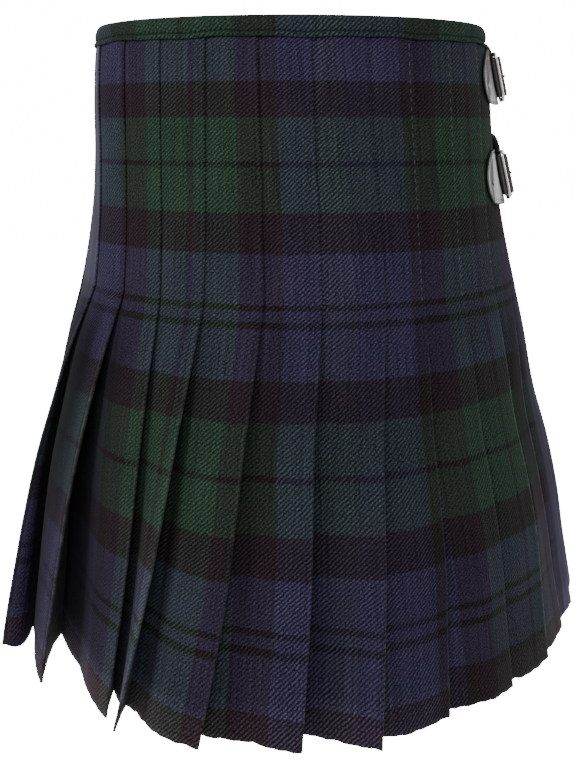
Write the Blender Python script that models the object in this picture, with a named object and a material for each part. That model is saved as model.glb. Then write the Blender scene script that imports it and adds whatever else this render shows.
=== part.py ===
"""A worn tartan kilt: pleated back, two flat aprons, waistband, two straps and two buckles.

Frame: metres, +Z up. The origin is the middle of the waist opening, at the height of the top edge.
+Y is the wearer's front, so the pleats are at -Y, and +X is the wearer's right hip, where the
buckles are. Sizes in the tables are millimetres.

Places on the cloth are given by three numbers in millimetres:
    down  height below the top edge
    along distance round the garment from the middle of the back, positive to the wearer's right
    out   distance outwards from the garment's round form at that height
"""
import math

import bmesh
import bpy
import numpy as np

MM = 0.001

# ---------------------------------------------------------------- cloth
WALL = 1.1              # worsted cloth of the pleats
STEP = 1.5              # from the middle of one folded layer to the next
SEAM = 0.3              # gap at every seam
APRON_WALL = 1.5        # outer front panel
UNDER_WALL = 1.1        # inner front panel
UNDER_OUT = -2.4        # how far the inner front panel lies inside the outer one

# ---------------------------------------------------------------- heights below the top edge
BAND_HEIGHT = 15.0
PANEL_TOP = BAND_HEIGHT + SEAM
FELL_END = 195.0        # the pleats are stitched flat down to here
KNEE = 341.0            # a station of the fold table between the fell and the hem
HEM = 497.0

# The round form of the garment, a row for each height: half its width, how far its middle is
# shifted to the wearer's right, how far in front of the origin it is widest, how far it reaches
# back and front, and the power of its oval (2 is an ellipse, less is more pointed at the back).
FORM_COLUMNS = ("down", "half_width", "shift", "widest_y", "back", "front", "power")
FORM = (
    (0.0, 150.5, -1.0, 0.0, 105.0, 105.0, 2.05),
    (18.0, 154.0, -1.0, 0.0, 107.5, 106.0, 2.05),
    (50.0, 157.5, 0.0, 0.0, 112.0, 108.0, 2.05),
    (100.0, 161.0, 2.0, 1.0, 124.0, 112.0, 2.05),
    (148.0, 168.0, 4.0, 3.0, 139.0, 117.0, 2.00),
    (195.0, 178.5, 5.0, 6.0, 153.0, 122.0, 2.00),
    (243.0, 193.0, 4.0, 10.0, 164.0, 127.0, 1.95),
    (292.0, 206.5, 3.0, 16.0, 173.0, 132.0, 1.90),
    (341.0, 222.5, 3.5, 22.0, 182.0, 137.0, 1.88),
    (390.0, 236.0, 3.5, 28.0, 191.0, 142.0, 1.85),
    (440.0, 248.5, 2.0, 34.0, 199.0, 147.0, 1.82),
    (497.0, 264.5, -0.5, 40.0, 208.0, 152.0, 1.80),
)
FORM_SAMPLES = 720      # chords that stand for the oval when distances are measured along it
TANGENT_REACH = 2.0     # a tangent is the chord this far to each side of its place

# The knife pleats, a row for each folded edge, from the wearer's left to the right. The first four
# numbers are where the edge runs: at the waist, the fell's end, the knee and the hem. The others
# say how the pleat stands open at the hem: how far its edge lifts, the gap from the edge down to
# the next panel, how far back its inner fold lies, how much deeper than that panel the inner fold
# is, how far the middle of its underside bellies out to the right, and how far its panel is
# crowned, or hollowed where the number is negative.
PLEAT_COLUMNS = ("waist", "fell", "knee", "hem", "lift", "gap", "back", "sink", "belly", "crown")
PLEATS = (
    (-205.0, -232.0, -300.0, -350.0, -8.0, 8.0, 30.0, 3.0, 0.0, 0.0),
    (-168.0, -195.0, -262.0, -278.0, 12.0, 25.0, 17.0, 3.0, 14.0, 0.0),
    (-130.0, -141.0, -190.0, -211.0, 9.0, 32.0, 60.0, 11.0, 0.0, 0.0),
    (-96.0, -104.0, -119.0, -141.0, 4.0, 14.0, 17.0, 8.0, 0.0, 2.0),
    (-60.0, -68.0, -92.0, -121.0, 15.0, 23.0, 13.0, 4.0, 0.0, 0.0),
    (-23.0, -25.0, -39.0, -61.0, 11.0, 13.0, 36.0, 4.0, 0.0, 4.0),
    (14.0, 15.0, 16.0, 8.0, 2.0, 17.0, 40.0, 3.0, 0.0, -5.0),
    (52.0, 60.0, 67.0, 62.0, 10.0, 14.0, 32.0, 8.0, 0.0, -3.0),
    (87.0, 91.0, 108.0, 131.0, -4.0, 7.0, 42.0, 2.0, 0.0, 4.0),
    (122.0, 128.0, 160.0, 192.0, -3.0, 4.0, 38.0, 1.0, 0.0, 3.0),
    (158.0, 168.0, 210.0, 247.0, -3.0, 4.0, 36.0, 1.0, 0.0, 2.0),
    (194.0, 204.0, 240.0, 303.0, -8.0, 5.0, 36.0, 1.0, 0.0, 1.0),
    (230.0, 240.0, 285.0, 350.0, -4.0, 6.0, 30.0, 1.0, 0.0, 1.0),
    (262.0, 275.0, 330.0, 398.0, 2.0, 6.0, 28.0, 1.0, 0.0, 1.0),
)
# Where the pleated length ends on each side, at the same four stations.
LEFT_END = (-225.0, -258.0, -338.0, -405.0)
RIGHT_END = (275.0, 292.0, 352.0, 425.0)

CLOSED_BACK = 0.6       # inner fold of a closed pleat, as a share of the width of its panel
CLOSED_CROWN = -0.5     # out of a closed panel just before the inner fold under it
CROWN_LEAD = 1.5        # how far before that fold the panel reaches its crown
TUCK = 1.0              # a panel clears the edge that covers it by this much

DOWNS = (PANEL_TOP, 50.0, 85.0, 120.0, 150.0, 175.0, 195.0, 215.0, 240.0, 270.0, 300.0, 335.0,
         370.0, 405.0, 440.0, 470.0, HEM)     # heights of the cloth's sections
APRON_COLUMNS = 20
APRON_REVEAL = 12.0     # the outer apron stops this far before the pleats
UNDER_SHORT = 2         # the inner apron stops this many columns before the left seam

# ---------------------------------------------------------------- waistband
BAND_BACK_OUT = (-2.6, 1.5)
BAND_OVER_OUT = (-1.1, 1.5)
BAND_UNDER_OUT = (-3.8, -1.9)
BAND_ROUND = 1.0        # radius of the rolled top edge
BAND_LIP = 0.5          # the turned lower edge stands this much proud
BAND_LIP_HEIGHT = 2.2
BAND_BACK_COLUMNS = 40
BAND_FRONT_COLUMNS = 26

# ---------------------------------------------------------------- leather and buckles
# A row for each buckle: its height, where its tab leaves the cloth, how many degrees it turns in
# from the cloth's tangent there, and how far its strap climbs on the way to the front.
BUCKLE_COLUMNS = ("name", "down", "root", "turn", "climb")
BUCKLES = (
    ("upper", 38.5, 190.0, 3.0, 4.0),
    ("lower", 114.0, 190.0, 7.0, 11.0),
)
HARDWARE_LEAN = 6.0     # degrees that the buckles lean out at the bottom, past the cloth's slope
LEATHER_OFF = 0.55 + SEAM       # from the form to the inner face of leather on the pleats
LEATHER = 1.8
TAB_HALF_HEIGHT = 21.5
TAB_ROUND_LENGTH = 22.0
TAB_LENGTH_ON_CLOTH = 24.0
TAB_SHOULDER_X = (4.0, 8.0)     # past the root, the tab narrows to the strap's height here
END_START = 0.35        # where the first row of a round leather end lies, in steps from its tip
BLEND_X = (-13.0, 1.0)  # leather goes from the cloth's shape to the buckle's plane between these
BAR_X = 17.0            # centre bar of the frame, in front of the tab's root
BAR_HALF = 1.2
FRAME_X = (3.0, 33.0)
FRAME_RIM = 3.0
FRAME_HALF_HEIGHT = 19.5
FRAME_BOW = 3.5         # the end bars stand this much further out than the centre bar
FRAME_CORNER = 2.0
STRAP = 2.0
STRAP_HALF_HEIGHT = 15.5
STRAP_TAIL_X = -17.0
STRAP_ROUND_LENGTH = 14.0
STRAP_LAND_X = (38.0, 84.0)     # the strap comes down on the cloth between these
STRAP_SEWN = 32.0       # length of strap sewn on the outer apron
STRAP_CREST = 5.0       # the strap runs over the centre bar this far to each side of it
STRAP_DIP = 0.6         # and has come down this much there
PRONG_HALF = 1.1
PRONG_FLAT = 3.0        # the prong runs level this far past the centre bar
PRONG_ARCH = 0.4        # and bends down this much at its tip


# ---------------------------------------------------------------- materials
def make_material(name, colour, roughness, metallic=0.0):
    """Return a Principled material of one colour."""
    material = bpy.data.materials.new(name)
    material.use_nodes = True
    shader = material.node_tree.nodes["Principled BSDF"]
    shader.inputs["Base Color"].default_value = (*colour, 1.0)
    shader.inputs["Roughness"].default_value = roughness
    shader.inputs["Metallic"].default_value = metallic
    return material


# ---------------------------------------------------------------- the round form
def form_row(down):
    """Return the form's sizes at one height, by name."""
    table = np.array(FORM)
    return {name: float(np.interp(down, table[:, 0], table[:, index]))
            for index, name in enumerate(FORM_COLUMNS)}


class Ring:
    """The closed oval of the garment at one height, measured along its length."""

    def __init__(self, down):
        row = form_row(down)
        angle = np.linspace(-math.pi, math.pi, FORM_SAMPLES + 1)
        side = np.sin(angle)
        depth = np.cos(angle)
        power = 2.0 / row["power"]
        back = row["back"] + row["widest_y"]
        front = row["front"] - row["widest_y"]
        self.down = down
        self.x = row["shift"] + row["half_width"] * np.sign(side) * np.abs(side) ** power
        reach = np.where(depth > 0.0, -back, front)
        self.y = row["widest_y"] + reach * np.abs(depth) ** power
        chord = np.hypot(np.diff(self.x), np.diff(self.y))
        self.length = np.concatenate([[0.0], np.cumsum(chord)])
        self.girth = float(self.length[-1])
        self.length -= self.length[FORM_SAMPLES // 2]

    def wrap(self, along):
        """Bring a distance into the half turn on each side of the middle of the back."""
        low = self.length[0]
        return low + (along - low) % self.girth

    def on_form(self, along):
        """Return the point of the oval at a distance from the middle of the back."""
        place = self.wrap(along)
        return (float(np.interp(place, self.length, self.x)),
                float(np.interp(place, self.length, self.y)))

    def tangent(self, along):
        """Return the unit direction of travel, to the wearer's right at the back."""
        ahead = self.on_form(along + TANGENT_REACH)
        behind = self.on_form(along - TANGENT_REACH)
        run = (ahead[0] - behind[0], ahead[1] - behind[1])
        size = math.hypot(*run)
        return run[0] / size, run[1] / size

    def point(self, along, out):
        """Return the point out millimetres outside the oval, in millimetres."""
        x, y = self.on_form(along)
        tx, ty = self.tangent(along)
        return x + ty * out, y - tx * out, -self.down


def at_station(stations, down):
    """Return a fold's place at one height from its four stations.

    It runs straight from the waist to the fell's end, and on a parabola from there through the
    knee to the hem.
    """
    waist, fell, knee, hem = stations
    if down <= FELL_END:
        return waist + (fell - waist) * down / FELL_END
    a = (down - KNEE) * (down - HEM) / ((FELL_END - KNEE) * (FELL_END - HEM))
    b = (down - FELL_END) * (down - HEM) / ((KNEE - FELL_END) * (KNEE - HEM))
    c = (down - FELL_END) * (down - KNEE) / ((HEM - FELL_END) * (HEM - KNEE))
    return a * fell + b * knee + c * hem


# ---------------------------------------------------------------- the pleats' section
def pleat_at(row, previous, down):
    """Return one pleat's edge, panel gap and inner fold at one height."""
    values = dict(zip(PLEAT_COLUMNS, row))
    opening = max(0.0, (down - FELL_END) / (HEM - FELL_END))
    edge = at_station(row[:4], down)
    closed_back = CLOSED_BACK * (edge - previous)
    closed_gap = 2.0 * STEP
    return {
        "edge": edge,
        "opening": opening,
        "lift": values["lift"] * opening,
        "gap": closed_gap + (values["gap"] - closed_gap) * opening,
        "back": closed_back + (values["back"] - closed_back) * opening,
        "sink": values["sink"] * opening,
        "belly": values["belly"] * opening,
        "crown": values["crown"],
    }


def pleated_section(down):
    """Return the middle line of the folded cloth at one height, as (along, out) pairs.

    Each pleat is a panel that rises to its folded edge, an underside that runs back below it, and
    an inner fold from which the next panel starts.
    """
    left = at_station(LEFT_END, down)
    right = at_station(RIGHT_END, down)
    line = [(left, 0.0)]
    before = (left, 0.0)
    previous = left
    for row in PLEATS:
        pleat = pleat_at(row, previous, down)
        edge = pleat["edge"]
        inner = edge - pleat["back"]
        share = (inner - CROWN_LEAD - before[0]) / (edge - before[0])
        straight = before[1] + (pleat["lift"] - before[1]) * share
        open_crown = straight + pleat["crown"]
        crown = CLOSED_CROWN + (open_crown - CLOSED_CROWN) * pleat["opening"]
        next_out = pleat["lift"] - pleat["gap"]
        inner_out = min(crown - STEP, next_out - pleat["sink"] + STEP)
        under = pleat["lift"] - STEP
        line.append((inner - CROWN_LEAD, crown))
        line.append((edge, pleat["lift"]))
        line.append((edge, under))
        line.append(((edge + inner) / 2.0 + pleat["belly"], (under + inner_out) / 2.0))
        line.append((inner, inner_out))
        line.append((inner, inner_out - STEP))
        before = (edge + TUCK, next_out)
        line.append(before)
        previous = edge
    line.append((right, UNDER_OUT))
    return line


# ---------------------------------------------------------------- meshes
def finish(name, vertices, faces, material, smooth_angle=40.0):
    """Make one closed object from points in millimetres."""
    mesh = bpy.data.meshes.new(name)
    mesh.from_pydata([tuple(value * MM for value in vertex) for vertex in vertices], [], faces)
    work = bmesh.new()
    work.from_mesh(mesh)
    bmesh.ops.recalc_face_normals(work, faces=work.faces)
    work.to_mesh(mesh)
    work.free()
    mesh.shade_smooth()
    mesh.set_sharp_from_angle(angle=math.radians(smooth_angle))
    mesh.materials.append(material)
    made = bpy.data.objects.new(name, mesh)
    bpy.context.scene.collection.objects.link(made)
    return made


def offset_line(points, distance):
    """Return a plan line moved sideways, with mitred corners; points are (x, y) pairs."""
    line = np.array(points)
    run = np.diff(line, axis=0)
    run /= np.linalg.norm(run, axis=1)[:, None]
    side = np.column_stack([run[:, 1], -run[:, 0]])
    first = np.vstack([side[:1], side])
    second = np.vstack([side, side[-1:]])
    mitre = first + second
    scale = distance * 2.0 / np.sum(mitre * mitre, axis=1)
    return line + mitre * scale[:, None]


def wall_between(outer_rows, inner_rows):
    """Return the vertices and faces of a wall from rows of its outer and its inner points."""
    rows = len(outer_rows)
    columns = len(outer_rows[0])
    vertices = [point for row in outer_rows for point in row]
    vertices += [point for row in inner_rows for point in row]
    half = rows * columns

    def outer(row, column):
        return row * columns + column

    def inner(row, column):
        return half + row * columns + column

    faces = []
    for row in range(rows - 1):
        for column in range(columns - 1):
            faces.append((outer(row, column), outer(row + 1, column),
                          outer(row + 1, column + 1), outer(row, column + 1)))
            faces.append((inner(row, column), inner(row, column + 1),
                          inner(row + 1, column + 1), inner(row + 1, column)))
    for row in (0, rows - 1):
        for column in range(columns - 1):
            faces.append((outer(row, column), outer(row, column + 1),
                          inner(row, column + 1), inner(row, column)))
    for column in (0, columns - 1):
        for row in range(rows - 1):
            faces.append((outer(row, column), outer(row + 1, column),
                          inner(row + 1, column), inner(row, column)))
    return vertices, faces


def build_pleats(material):
    """Build the folded back and sides as one wall."""
    outer_rows = []
    inner_rows = []
    for down in DOWNS:
        ring = Ring(down)
        middle = [ring.point(along, out)[:2] for along, out in pleated_section(down)]
        outer = offset_line(middle, WALL / 2.0)
        inner = offset_line(middle, -WALL / 2.0)
        outer_rows.append([(x, y, -down) for x, y in outer])
        inner_rows.append([(x, y, -down) for x, y in inner])
    finish("pleats", *wall_between(outer_rows, inner_rows), material)


def build_panel(name, places_at, out, wall, material):
    """Build a flat front panel; places_at gives its columns' places on a ring."""
    outer_rows = []
    inner_rows = []
    for down in DOWNS:
        ring = Ring(down)
        places = places_at(ring, APRON_COLUMNS)
        outer_rows.append([ring.point(place, out + wall / 2.0) for place in places])
        inner_rows.append([ring.point(place, out - wall / 2.0) for place in places])
    finish(name, *wall_between(outer_rows, inner_rows), material)


def back_places(ring, columns):
    """Columns over the pleats, from the wearer's left to the right."""
    return np.linspace(at_station(LEFT_END, ring.down), at_station(RIGHT_END, ring.down), columns)


def over_places(ring, columns):
    """Columns of the outer apron, from its free edge at the right to the left seam."""
    right = at_station(RIGHT_END, ring.down) + APRON_REVEAL
    left = ring.girth + at_station(LEFT_END, ring.down) - SEAM
    return np.linspace(right, left, columns)


def under_places(ring, columns):
    """Columns of the inner apron: the right seam, then the outer apron's own columns."""
    right = at_station(RIGHT_END, ring.down) + SEAM
    return np.concatenate([[right], over_places(ring, columns)[:-UNDER_SHORT]])


def build_band(name, places_at, columns, outs, material):
    """Build a length of waistband with a rolled top and a turned lower edge."""
    low, high = outs
    turn = 1.0 - math.sqrt(0.5)
    lip_top = BAND_HEIGHT - BAND_LIP_HEIGHT
    profile = (
        (low, BAND_HEIGHT),
        (low, BAND_ROUND),
        (low + BAND_ROUND * turn, BAND_ROUND * turn),
        (low + BAND_ROUND, 0.0),
        (high - BAND_ROUND, 0.0),
        (high - BAND_ROUND * turn, BAND_ROUND * turn),
        (high, BAND_ROUND),
        (high, lip_top),
        (high + BAND_LIP, lip_top + BAND_LIP),
        (high + BAND_LIP, BAND_HEIGHT),
    )
    rings = [Ring(down) for _, down in profile]
    places = [places_at(ring, columns) for ring in rings]
    count = len(places[0])
    vertices = []
    for station in range(count):
        for ring, along, (out, _) in zip(rings, places, profile):
            vertices.append(ring.point(along[station], out))
    size = len(profile)
    faces = [tuple(range(size)), tuple((count - 1) * size + index for index in range(size))]
    for station in range(count - 1):
        for index in range(size):
            after = (index + 1) % size
            faces.append((station * size + index, station * size + after,
                          (station + 1) * size + after, (station + 1) * size + index))
    finish(name, vertices, faces, material)


# ---------------------------------------------------------------- leather and buckles
class Seat:
    """Where one buckle sits: x runs along the strap to the front, y down, and w outwards.

    Behind the root the pieces follow the cloth. Past it they lie in a flat plane that leaves the
    cloth along its tangent and leans out at the bottom.
    """

    def __init__(self, down, root, turn, climb):
        self.down = down
        self.root = root
        self.climb = climb
        ring = Ring(down)
        tangent_x, tangent_y = ring.tangent(root)
        cosine = math.cos(math.radians(turn))
        sine = math.sin(math.radians(turn))
        tx = tangent_x * cosine - tangent_y * sine
        ty = tangent_x * sine + tangent_y * cosine
        slope_low = np.array(Ring(down + TAB_HALF_HEIGHT).point(root, 0.0))
        slope_high = np.array(Ring(down - TAB_HALF_HEIGHT).point(root, 0.0))
        fall = slope_low - slope_high
        normal = np.array((ty, -tx, 0.0))
        slope = math.atan2(float(fall @ normal), float(-fall[2]))
        lean = slope + math.radians(HARDWARE_LEAN)
        self.forward = np.array((tx, ty, 0.0))
        self.downward = np.array((0.0, 0.0, -math.cos(lean))) + normal * math.sin(lean)
        self.outward = normal * math.cos(lean) + np.array((0.0, 0.0, math.sin(lean)))
        lift = TAB_HALF_HEIGHT * math.sin(math.radians(HARDWARE_LEAN))
        self.origin = np.array(ring.point(root, LEATHER_OFF + lift))

    def on_plane(self, x, y, w):
        """Return a point of the flat plane."""
        return self.origin + self.forward * x + self.downward * y + self.outward * w

    def on_cloth(self, x, y, w):
        """Return a point that follows the cloth."""
        ring = Ring(self.down + y)
        return np.array(ring.point(self.root + x, LEATHER_OFF + w))

    def leather(self, x, y, w):
        """Return a point that follows the cloth behind the root and the plane past it."""
        share = min(max((x - BLEND_X[0]) / (BLEND_X[1] - BLEND_X[0]), 0.0), 1.0)
        share = share * share * (3.0 - 2.0 * share)
        return self.on_cloth(x, y, w) * (1.0 - share) + self.on_plane(x, y, w) * share


def ribbon(name, place, path, thickness, material):
    """Build a leather ribbon; path rows are its middle (x, w) and half its height there."""
    middle = [(x, w) for x, w, _ in path]
    outer = offset_line(middle, -thickness / 2.0)
    inner = offset_line(middle, thickness / 2.0)
    shares = (-1.0, -0.5, 0.0, 0.5, 1.0)
    outer_rows = []
    inner_rows = []
    for (x_out, w_out), (x_in, w_in), (_, _, half) in zip(outer, inner, path):
        outer_rows.append([tuple(place(x_out, half * share, w_out)) for share in shares])
        inner_rows.append([tuple(place(x_in, half * share, w_in)) for share in shares])
    finish(name, *wall_between(outer_rows, inner_rows), material)


def round_end(tip_x, length, half, w, steps=5):
    """Return the path rows of a half-round leather end that starts at tip_x."""
    rows = []
    for index in range(steps):
        share = (index + END_START) / steps
        x = tip_x + length * (1.0 - math.cos(share * math.pi / 2.0))
        rows.append((x, w, half * math.sin(share * math.pi / 2.0)))
    rows.append((tip_x + length, w, half))
    return rows


def hook_centre():
    """Return the height of the centre bar above the inner face of the leather."""
    return LEATHER + SEAM + BAR_HALF * math.sqrt(2.0)


def build_tab(name, seat, material):
    """Build the round-ended tab, whose front end turns up round the centre bar."""
    half_leather = LEATHER / 2.0
    rows = round_end(-TAB_LENGTH_ON_CLOTH, TAB_ROUND_LENGTH, TAB_HALF_HEIGHT, half_leather)
    rows.append((TAB_SHOULDER_X[0], half_leather, TAB_HALF_HEIGHT - 1.0))
    rows.append((TAB_SHOULDER_X[1], half_leather, STRAP_HALF_HEIGHT))
    centre = hook_centre()
    radius = centre - half_leather
    for degrees in (-90.0, -45.0, 0.0, 45.0, 90.0, 125.0):
        angle = math.radians(degrees)
        rows.append((BAR_X + radius * math.cos(angle), centre + radius * math.sin(angle),
                     STRAP_HALF_HEIGHT))
    ribbon(name, seat.leather, rows, LEATHER, material)


def build_frame(name, seat, material):
    """Build the bowed frame: a rim with rounded corners and a centre bar."""
    x_low, x_high = FRAME_X
    xs = (x_low, x_low + FRAME_RIM, (x_low + BAR_X) / 2.0, BAR_X - BAR_HALF, BAR_X + BAR_HALF,
          (x_high + BAR_X) / 2.0, x_high - FRAME_RIM, x_high)
    inside = FRAME_HALF_HEIGHT - FRAME_RIM
    ys = (-FRAME_HALF_HEIGHT, -inside, 0.0, inside, FRAME_HALF_HEIGHT)
    windows = {(column, row) for column in (1, 2, 4, 5) for row in (1, 2)}
    reach = (x_high - x_low) / 2.0
    base = hook_centre() - BAR_HALF
    faces_2d = [(column, row) for column in range(len(xs) - 1) for row in range(len(ys) - 1)
                if (column, row) not in windows]
    vertices = []
    for level in (0.0, 2.0 * BAR_HALF):
        for column, x in enumerate(xs):
            for row, y in enumerate(ys):
                corner = column in (0, len(xs) - 1) and row in (0, len(ys) - 1)
                pull = FRAME_CORNER * (1.0 - math.sqrt(0.5)) if corner else 0.0
                x_here = x - math.copysign(pull, x - BAR_X)
                y_here = y - math.copysign(pull, y) if row != 2 else y
                bow = FRAME_BOW * ((x_here - BAR_X) / reach) ** 2
                vertices.append(tuple(seat.on_plane(x_here, y_here, base + bow + level)))
    layer = len(xs) * len(ys)

    def corner_index(column, row, level):
        return level * layer + column * len(ys) + row

    faces = []
    for column, row in faces_2d:
        loop = ((column, row), (column + 1, row), (column + 1, row + 1), (column, row + 1))
        faces.append(tuple(corner_index(*spot, 0) for spot in loop))
        faces.append(tuple(corner_index(*spot, 1) for spot in loop))
        beside = ((column, row - 1), (column + 1, row), (column, row + 1), (column - 1, row))
        for side, neighbour in enumerate(beside):
            if neighbour in faces_2d:
                continue
            one = loop[side]
            two = loop[(side + 1) % 4]
            faces.append((corner_index(*one, 0), corner_index(*two, 0),
                          corner_index(*two, 1), corner_index(*one, 1)))
    finish(name, vertices, faces, material)


def frame_bar_inner(x):
    """Return the inner face of the frame at one place along the strap."""
    reach = (FRAME_X[1] - FRAME_X[0]) / 2.0
    return hook_centre() - BAR_HALF + FRAME_BOW * ((x - BAR_X) / reach) ** 2


def strap_levels():
    """Return the strap's middle as (x, w) rows from its tail to past the frame."""
    half = STRAP / 2.0
    tail = LEATHER + SEAM + half
    over = 2.0 * hook_centre() + SEAM + half
    front = frame_bar_inner(FRAME_X[1] - FRAME_RIM) - SEAM - half
    return (
        (1.0, tail),
        (FRAME_X[0] + FRAME_RIM + 0.5, tail),
        (BAR_X - STRAP_CREST, over - STRAP_DIP),
        (BAR_X, over),
        (BAR_X + STRAP_CREST, over - STRAP_DIP),
        (FRAME_X[1] - FRAME_RIM - 1.5, front),
        (FRAME_X[1] + 2.0, front),
    )


def build_strap(name, seat, material):
    """Build the strap: tail on the tab, through the frame, and down to the outer apron."""
    levels = strap_levels()
    tail = levels[0][1]
    front = levels[-1][1]
    rows = round_end(STRAP_TAIL_X, STRAP_ROUND_LENGTH, STRAP_HALF_HEIGHT, tail)
    rows += [(x, w, STRAP_HALF_HEIGHT) for x, w in levels]
    land_start, land_stop = STRAP_LAND_X
    apron_edge = at_station(RIGHT_END, seat.down) + APRON_REVEAL - seat.root
    stop = apron_edge + STRAP_SEWN
    rows += [(float(x), front, STRAP_HALF_HEIGHT) for x in np.linspace(land_start, stop, 12)]
    rest = APRON_WALL / 2.0 + SEAM - LEATHER_OFF + STRAP / 2.0

    def place(x, y, w):
        if x <= land_start:
            return seat.leather(x, y, w)
        share = min((x - land_start) / (land_stop - land_start), 1.0)
        share = share * share * (3.0 - 2.0 * share)
        height = y - seat.climb * share
        on_cloth = seat.on_cloth(x, height, w - front + rest)
        return seat.on_plane(x, height, w) * (1.0 - share) + on_cloth * share

    ribbon(name, place, rows, STRAP, material)


def build_prong(name, seat, material):
    """Build the prong, from the strap over the centre bar to the top of the front bar."""
    over = strap_levels()[3][1] + STRAP / 2.0 + SEAM
    front_top = frame_bar_inner(FRAME_X[1]) + 2.0 * BAR_HALF + SEAM
    start = BAR_X - 1.0
    stop = FRAME_X[1]
    stations = ((start, over), (BAR_X + PRONG_FLAT, over),
                (FRAME_X[1] - FRAME_RIM - 1.0, front_top + PRONG_ARCH), (stop, front_top))
    vertices = []
    for x, w in stations:
        for y, level in ((-1.0, 0.0), (1.0, 0.0), (1.0, 2.0), (-1.0, 2.0)):
            vertices.append(tuple(seat.on_plane(x, y * PRONG_HALF, w + level * PRONG_HALF)))
    faces = [(0, 1, 2, 3), (12, 13, 14, 15)]
    for station in range(3):
        for index in range(4):
            after = (index + 1) % 4
            faces.append((station * 4 + index, station * 4 + after,
                          station * 4 + 4 + after, station * 4 + 4 + index))
    finish(name, vertices, faces, material)


def main():
    """Build the whole kilt."""
    for existing in list(bpy.data.objects):
        bpy.data.objects.remove(existing, do_unlink=True)
    tartan = make_material("tartan", (0.020, 0.028, 0.045), 0.9)
    binding = make_material("waistband", (0.022, 0.034, 0.036), 0.9)
    leather = make_material("black_leather", (0.012, 0.011, 0.012), 0.35)
    chrome = make_material("chrome", (0.75, 0.74, 0.73), 0.15, 1.0)

    build_pleats(tartan)
    build_panel("over_apron", over_places, 0.0, APRON_WALL, tartan)
    build_panel("under_apron", under_places, UNDER_OUT, UNDER_WALL, tartan)
    build_band("waistband_back", back_places, BAND_BACK_COLUMNS, BAND_BACK_OUT, binding)
    build_band("waistband_over", over_places, BAND_FRONT_COLUMNS, BAND_OVER_OUT, binding)
    build_band("waistband_under", under_places, BAND_FRONT_COLUMNS, BAND_UNDER_OUT, binding)

    for row in BUCKLES:
        buckle = dict(zip(BUCKLE_COLUMNS, row))
        seat = Seat(buckle["down"], buckle["root"], buckle["turn"], buckle["climb"])
        build_tab("tab_" + buckle["name"], seat, leather)
        build_frame("buckle_" + buckle["name"], seat, chrome)
        build_strap("strap_" + buckle["name"], seat, leather)
        build_prong("prong_" + buckle["name"], seat, chrome)


main()
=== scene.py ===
"""A worn kilt: pleated tartan, two flat aprons, a folded waistband, two straps and their buckles.

The origin is the middle of the waist opening, at the height of the top edge. +Y is the wearer's
front and +X the wearer's right. Sizes are millimetres unless a name or a comment says otherwise.

Places on the cloth are given by three numbers:
    down   height below the top edge
    along  distance round the garment from the middle of the back, positive to the wearer's right
    out    distance outwards from the garment's round form at that height
"""
from __future__ import annotations

import logging
import math
from dataclasses import dataclass
from enum import Enum
from typing import Callable

import bmesh
import bpy
import numpy as np
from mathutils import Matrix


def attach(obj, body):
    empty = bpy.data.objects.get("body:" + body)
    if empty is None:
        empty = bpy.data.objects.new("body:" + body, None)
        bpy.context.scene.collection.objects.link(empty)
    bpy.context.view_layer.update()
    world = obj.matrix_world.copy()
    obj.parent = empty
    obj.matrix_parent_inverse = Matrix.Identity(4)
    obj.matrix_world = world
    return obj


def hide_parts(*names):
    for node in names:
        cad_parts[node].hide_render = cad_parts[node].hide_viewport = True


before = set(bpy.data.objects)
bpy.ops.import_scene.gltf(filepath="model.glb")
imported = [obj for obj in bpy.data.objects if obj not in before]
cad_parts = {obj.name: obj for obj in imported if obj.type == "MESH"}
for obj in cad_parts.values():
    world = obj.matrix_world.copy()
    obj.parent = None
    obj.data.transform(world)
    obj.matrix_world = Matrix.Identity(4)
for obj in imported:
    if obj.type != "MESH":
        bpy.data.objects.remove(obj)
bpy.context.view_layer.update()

Array = np.ndarray
Piece = bpy.types.Object
Material = bpy.types.Material
Tree = bpy.types.NodeTree
Node = bpy.types.ShaderNode
Socket = bpy.types.NodeSocket
Place = Callable[[Array, Array, Array], Array]      # puts (x, y, w) of a buckle in space
Colour = tuple[float, float, float, float]
Stripes = tuple[tuple[float, Colour], ...]

LOG = logging.getLogger("kilt")
MM = 0.001

# ---------------------------------------------------------------- the cut of the cloth
SETT = 221.0            # one repeat of the tartan down the cloth
WARP_SETT = 226.0       # and across it
WARP_START = -116.0     # a black to green change lies here on the stitched pleats
WALL = 0.95             # thickness of the worsted
PRESSED = 0.45          # share of its height that a stitched and pressed pleat keeps
SEAM = 0.3              # clearance between two pieces
LAYER = 1.5             # from the middle of one folded layer to the next
BAND_HEIGHT = 15.0
PANEL_TOP = BAND_HEIGHT - 3.0   # the panels run up under the band
FELL_END = 195.0        # the pleats are stitched flat down to here
KNEE = 341.0            # a station of the fold table between the fell and the hem
HEM = 497.0
ROWS = 92               # rows of points down a panel

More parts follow.
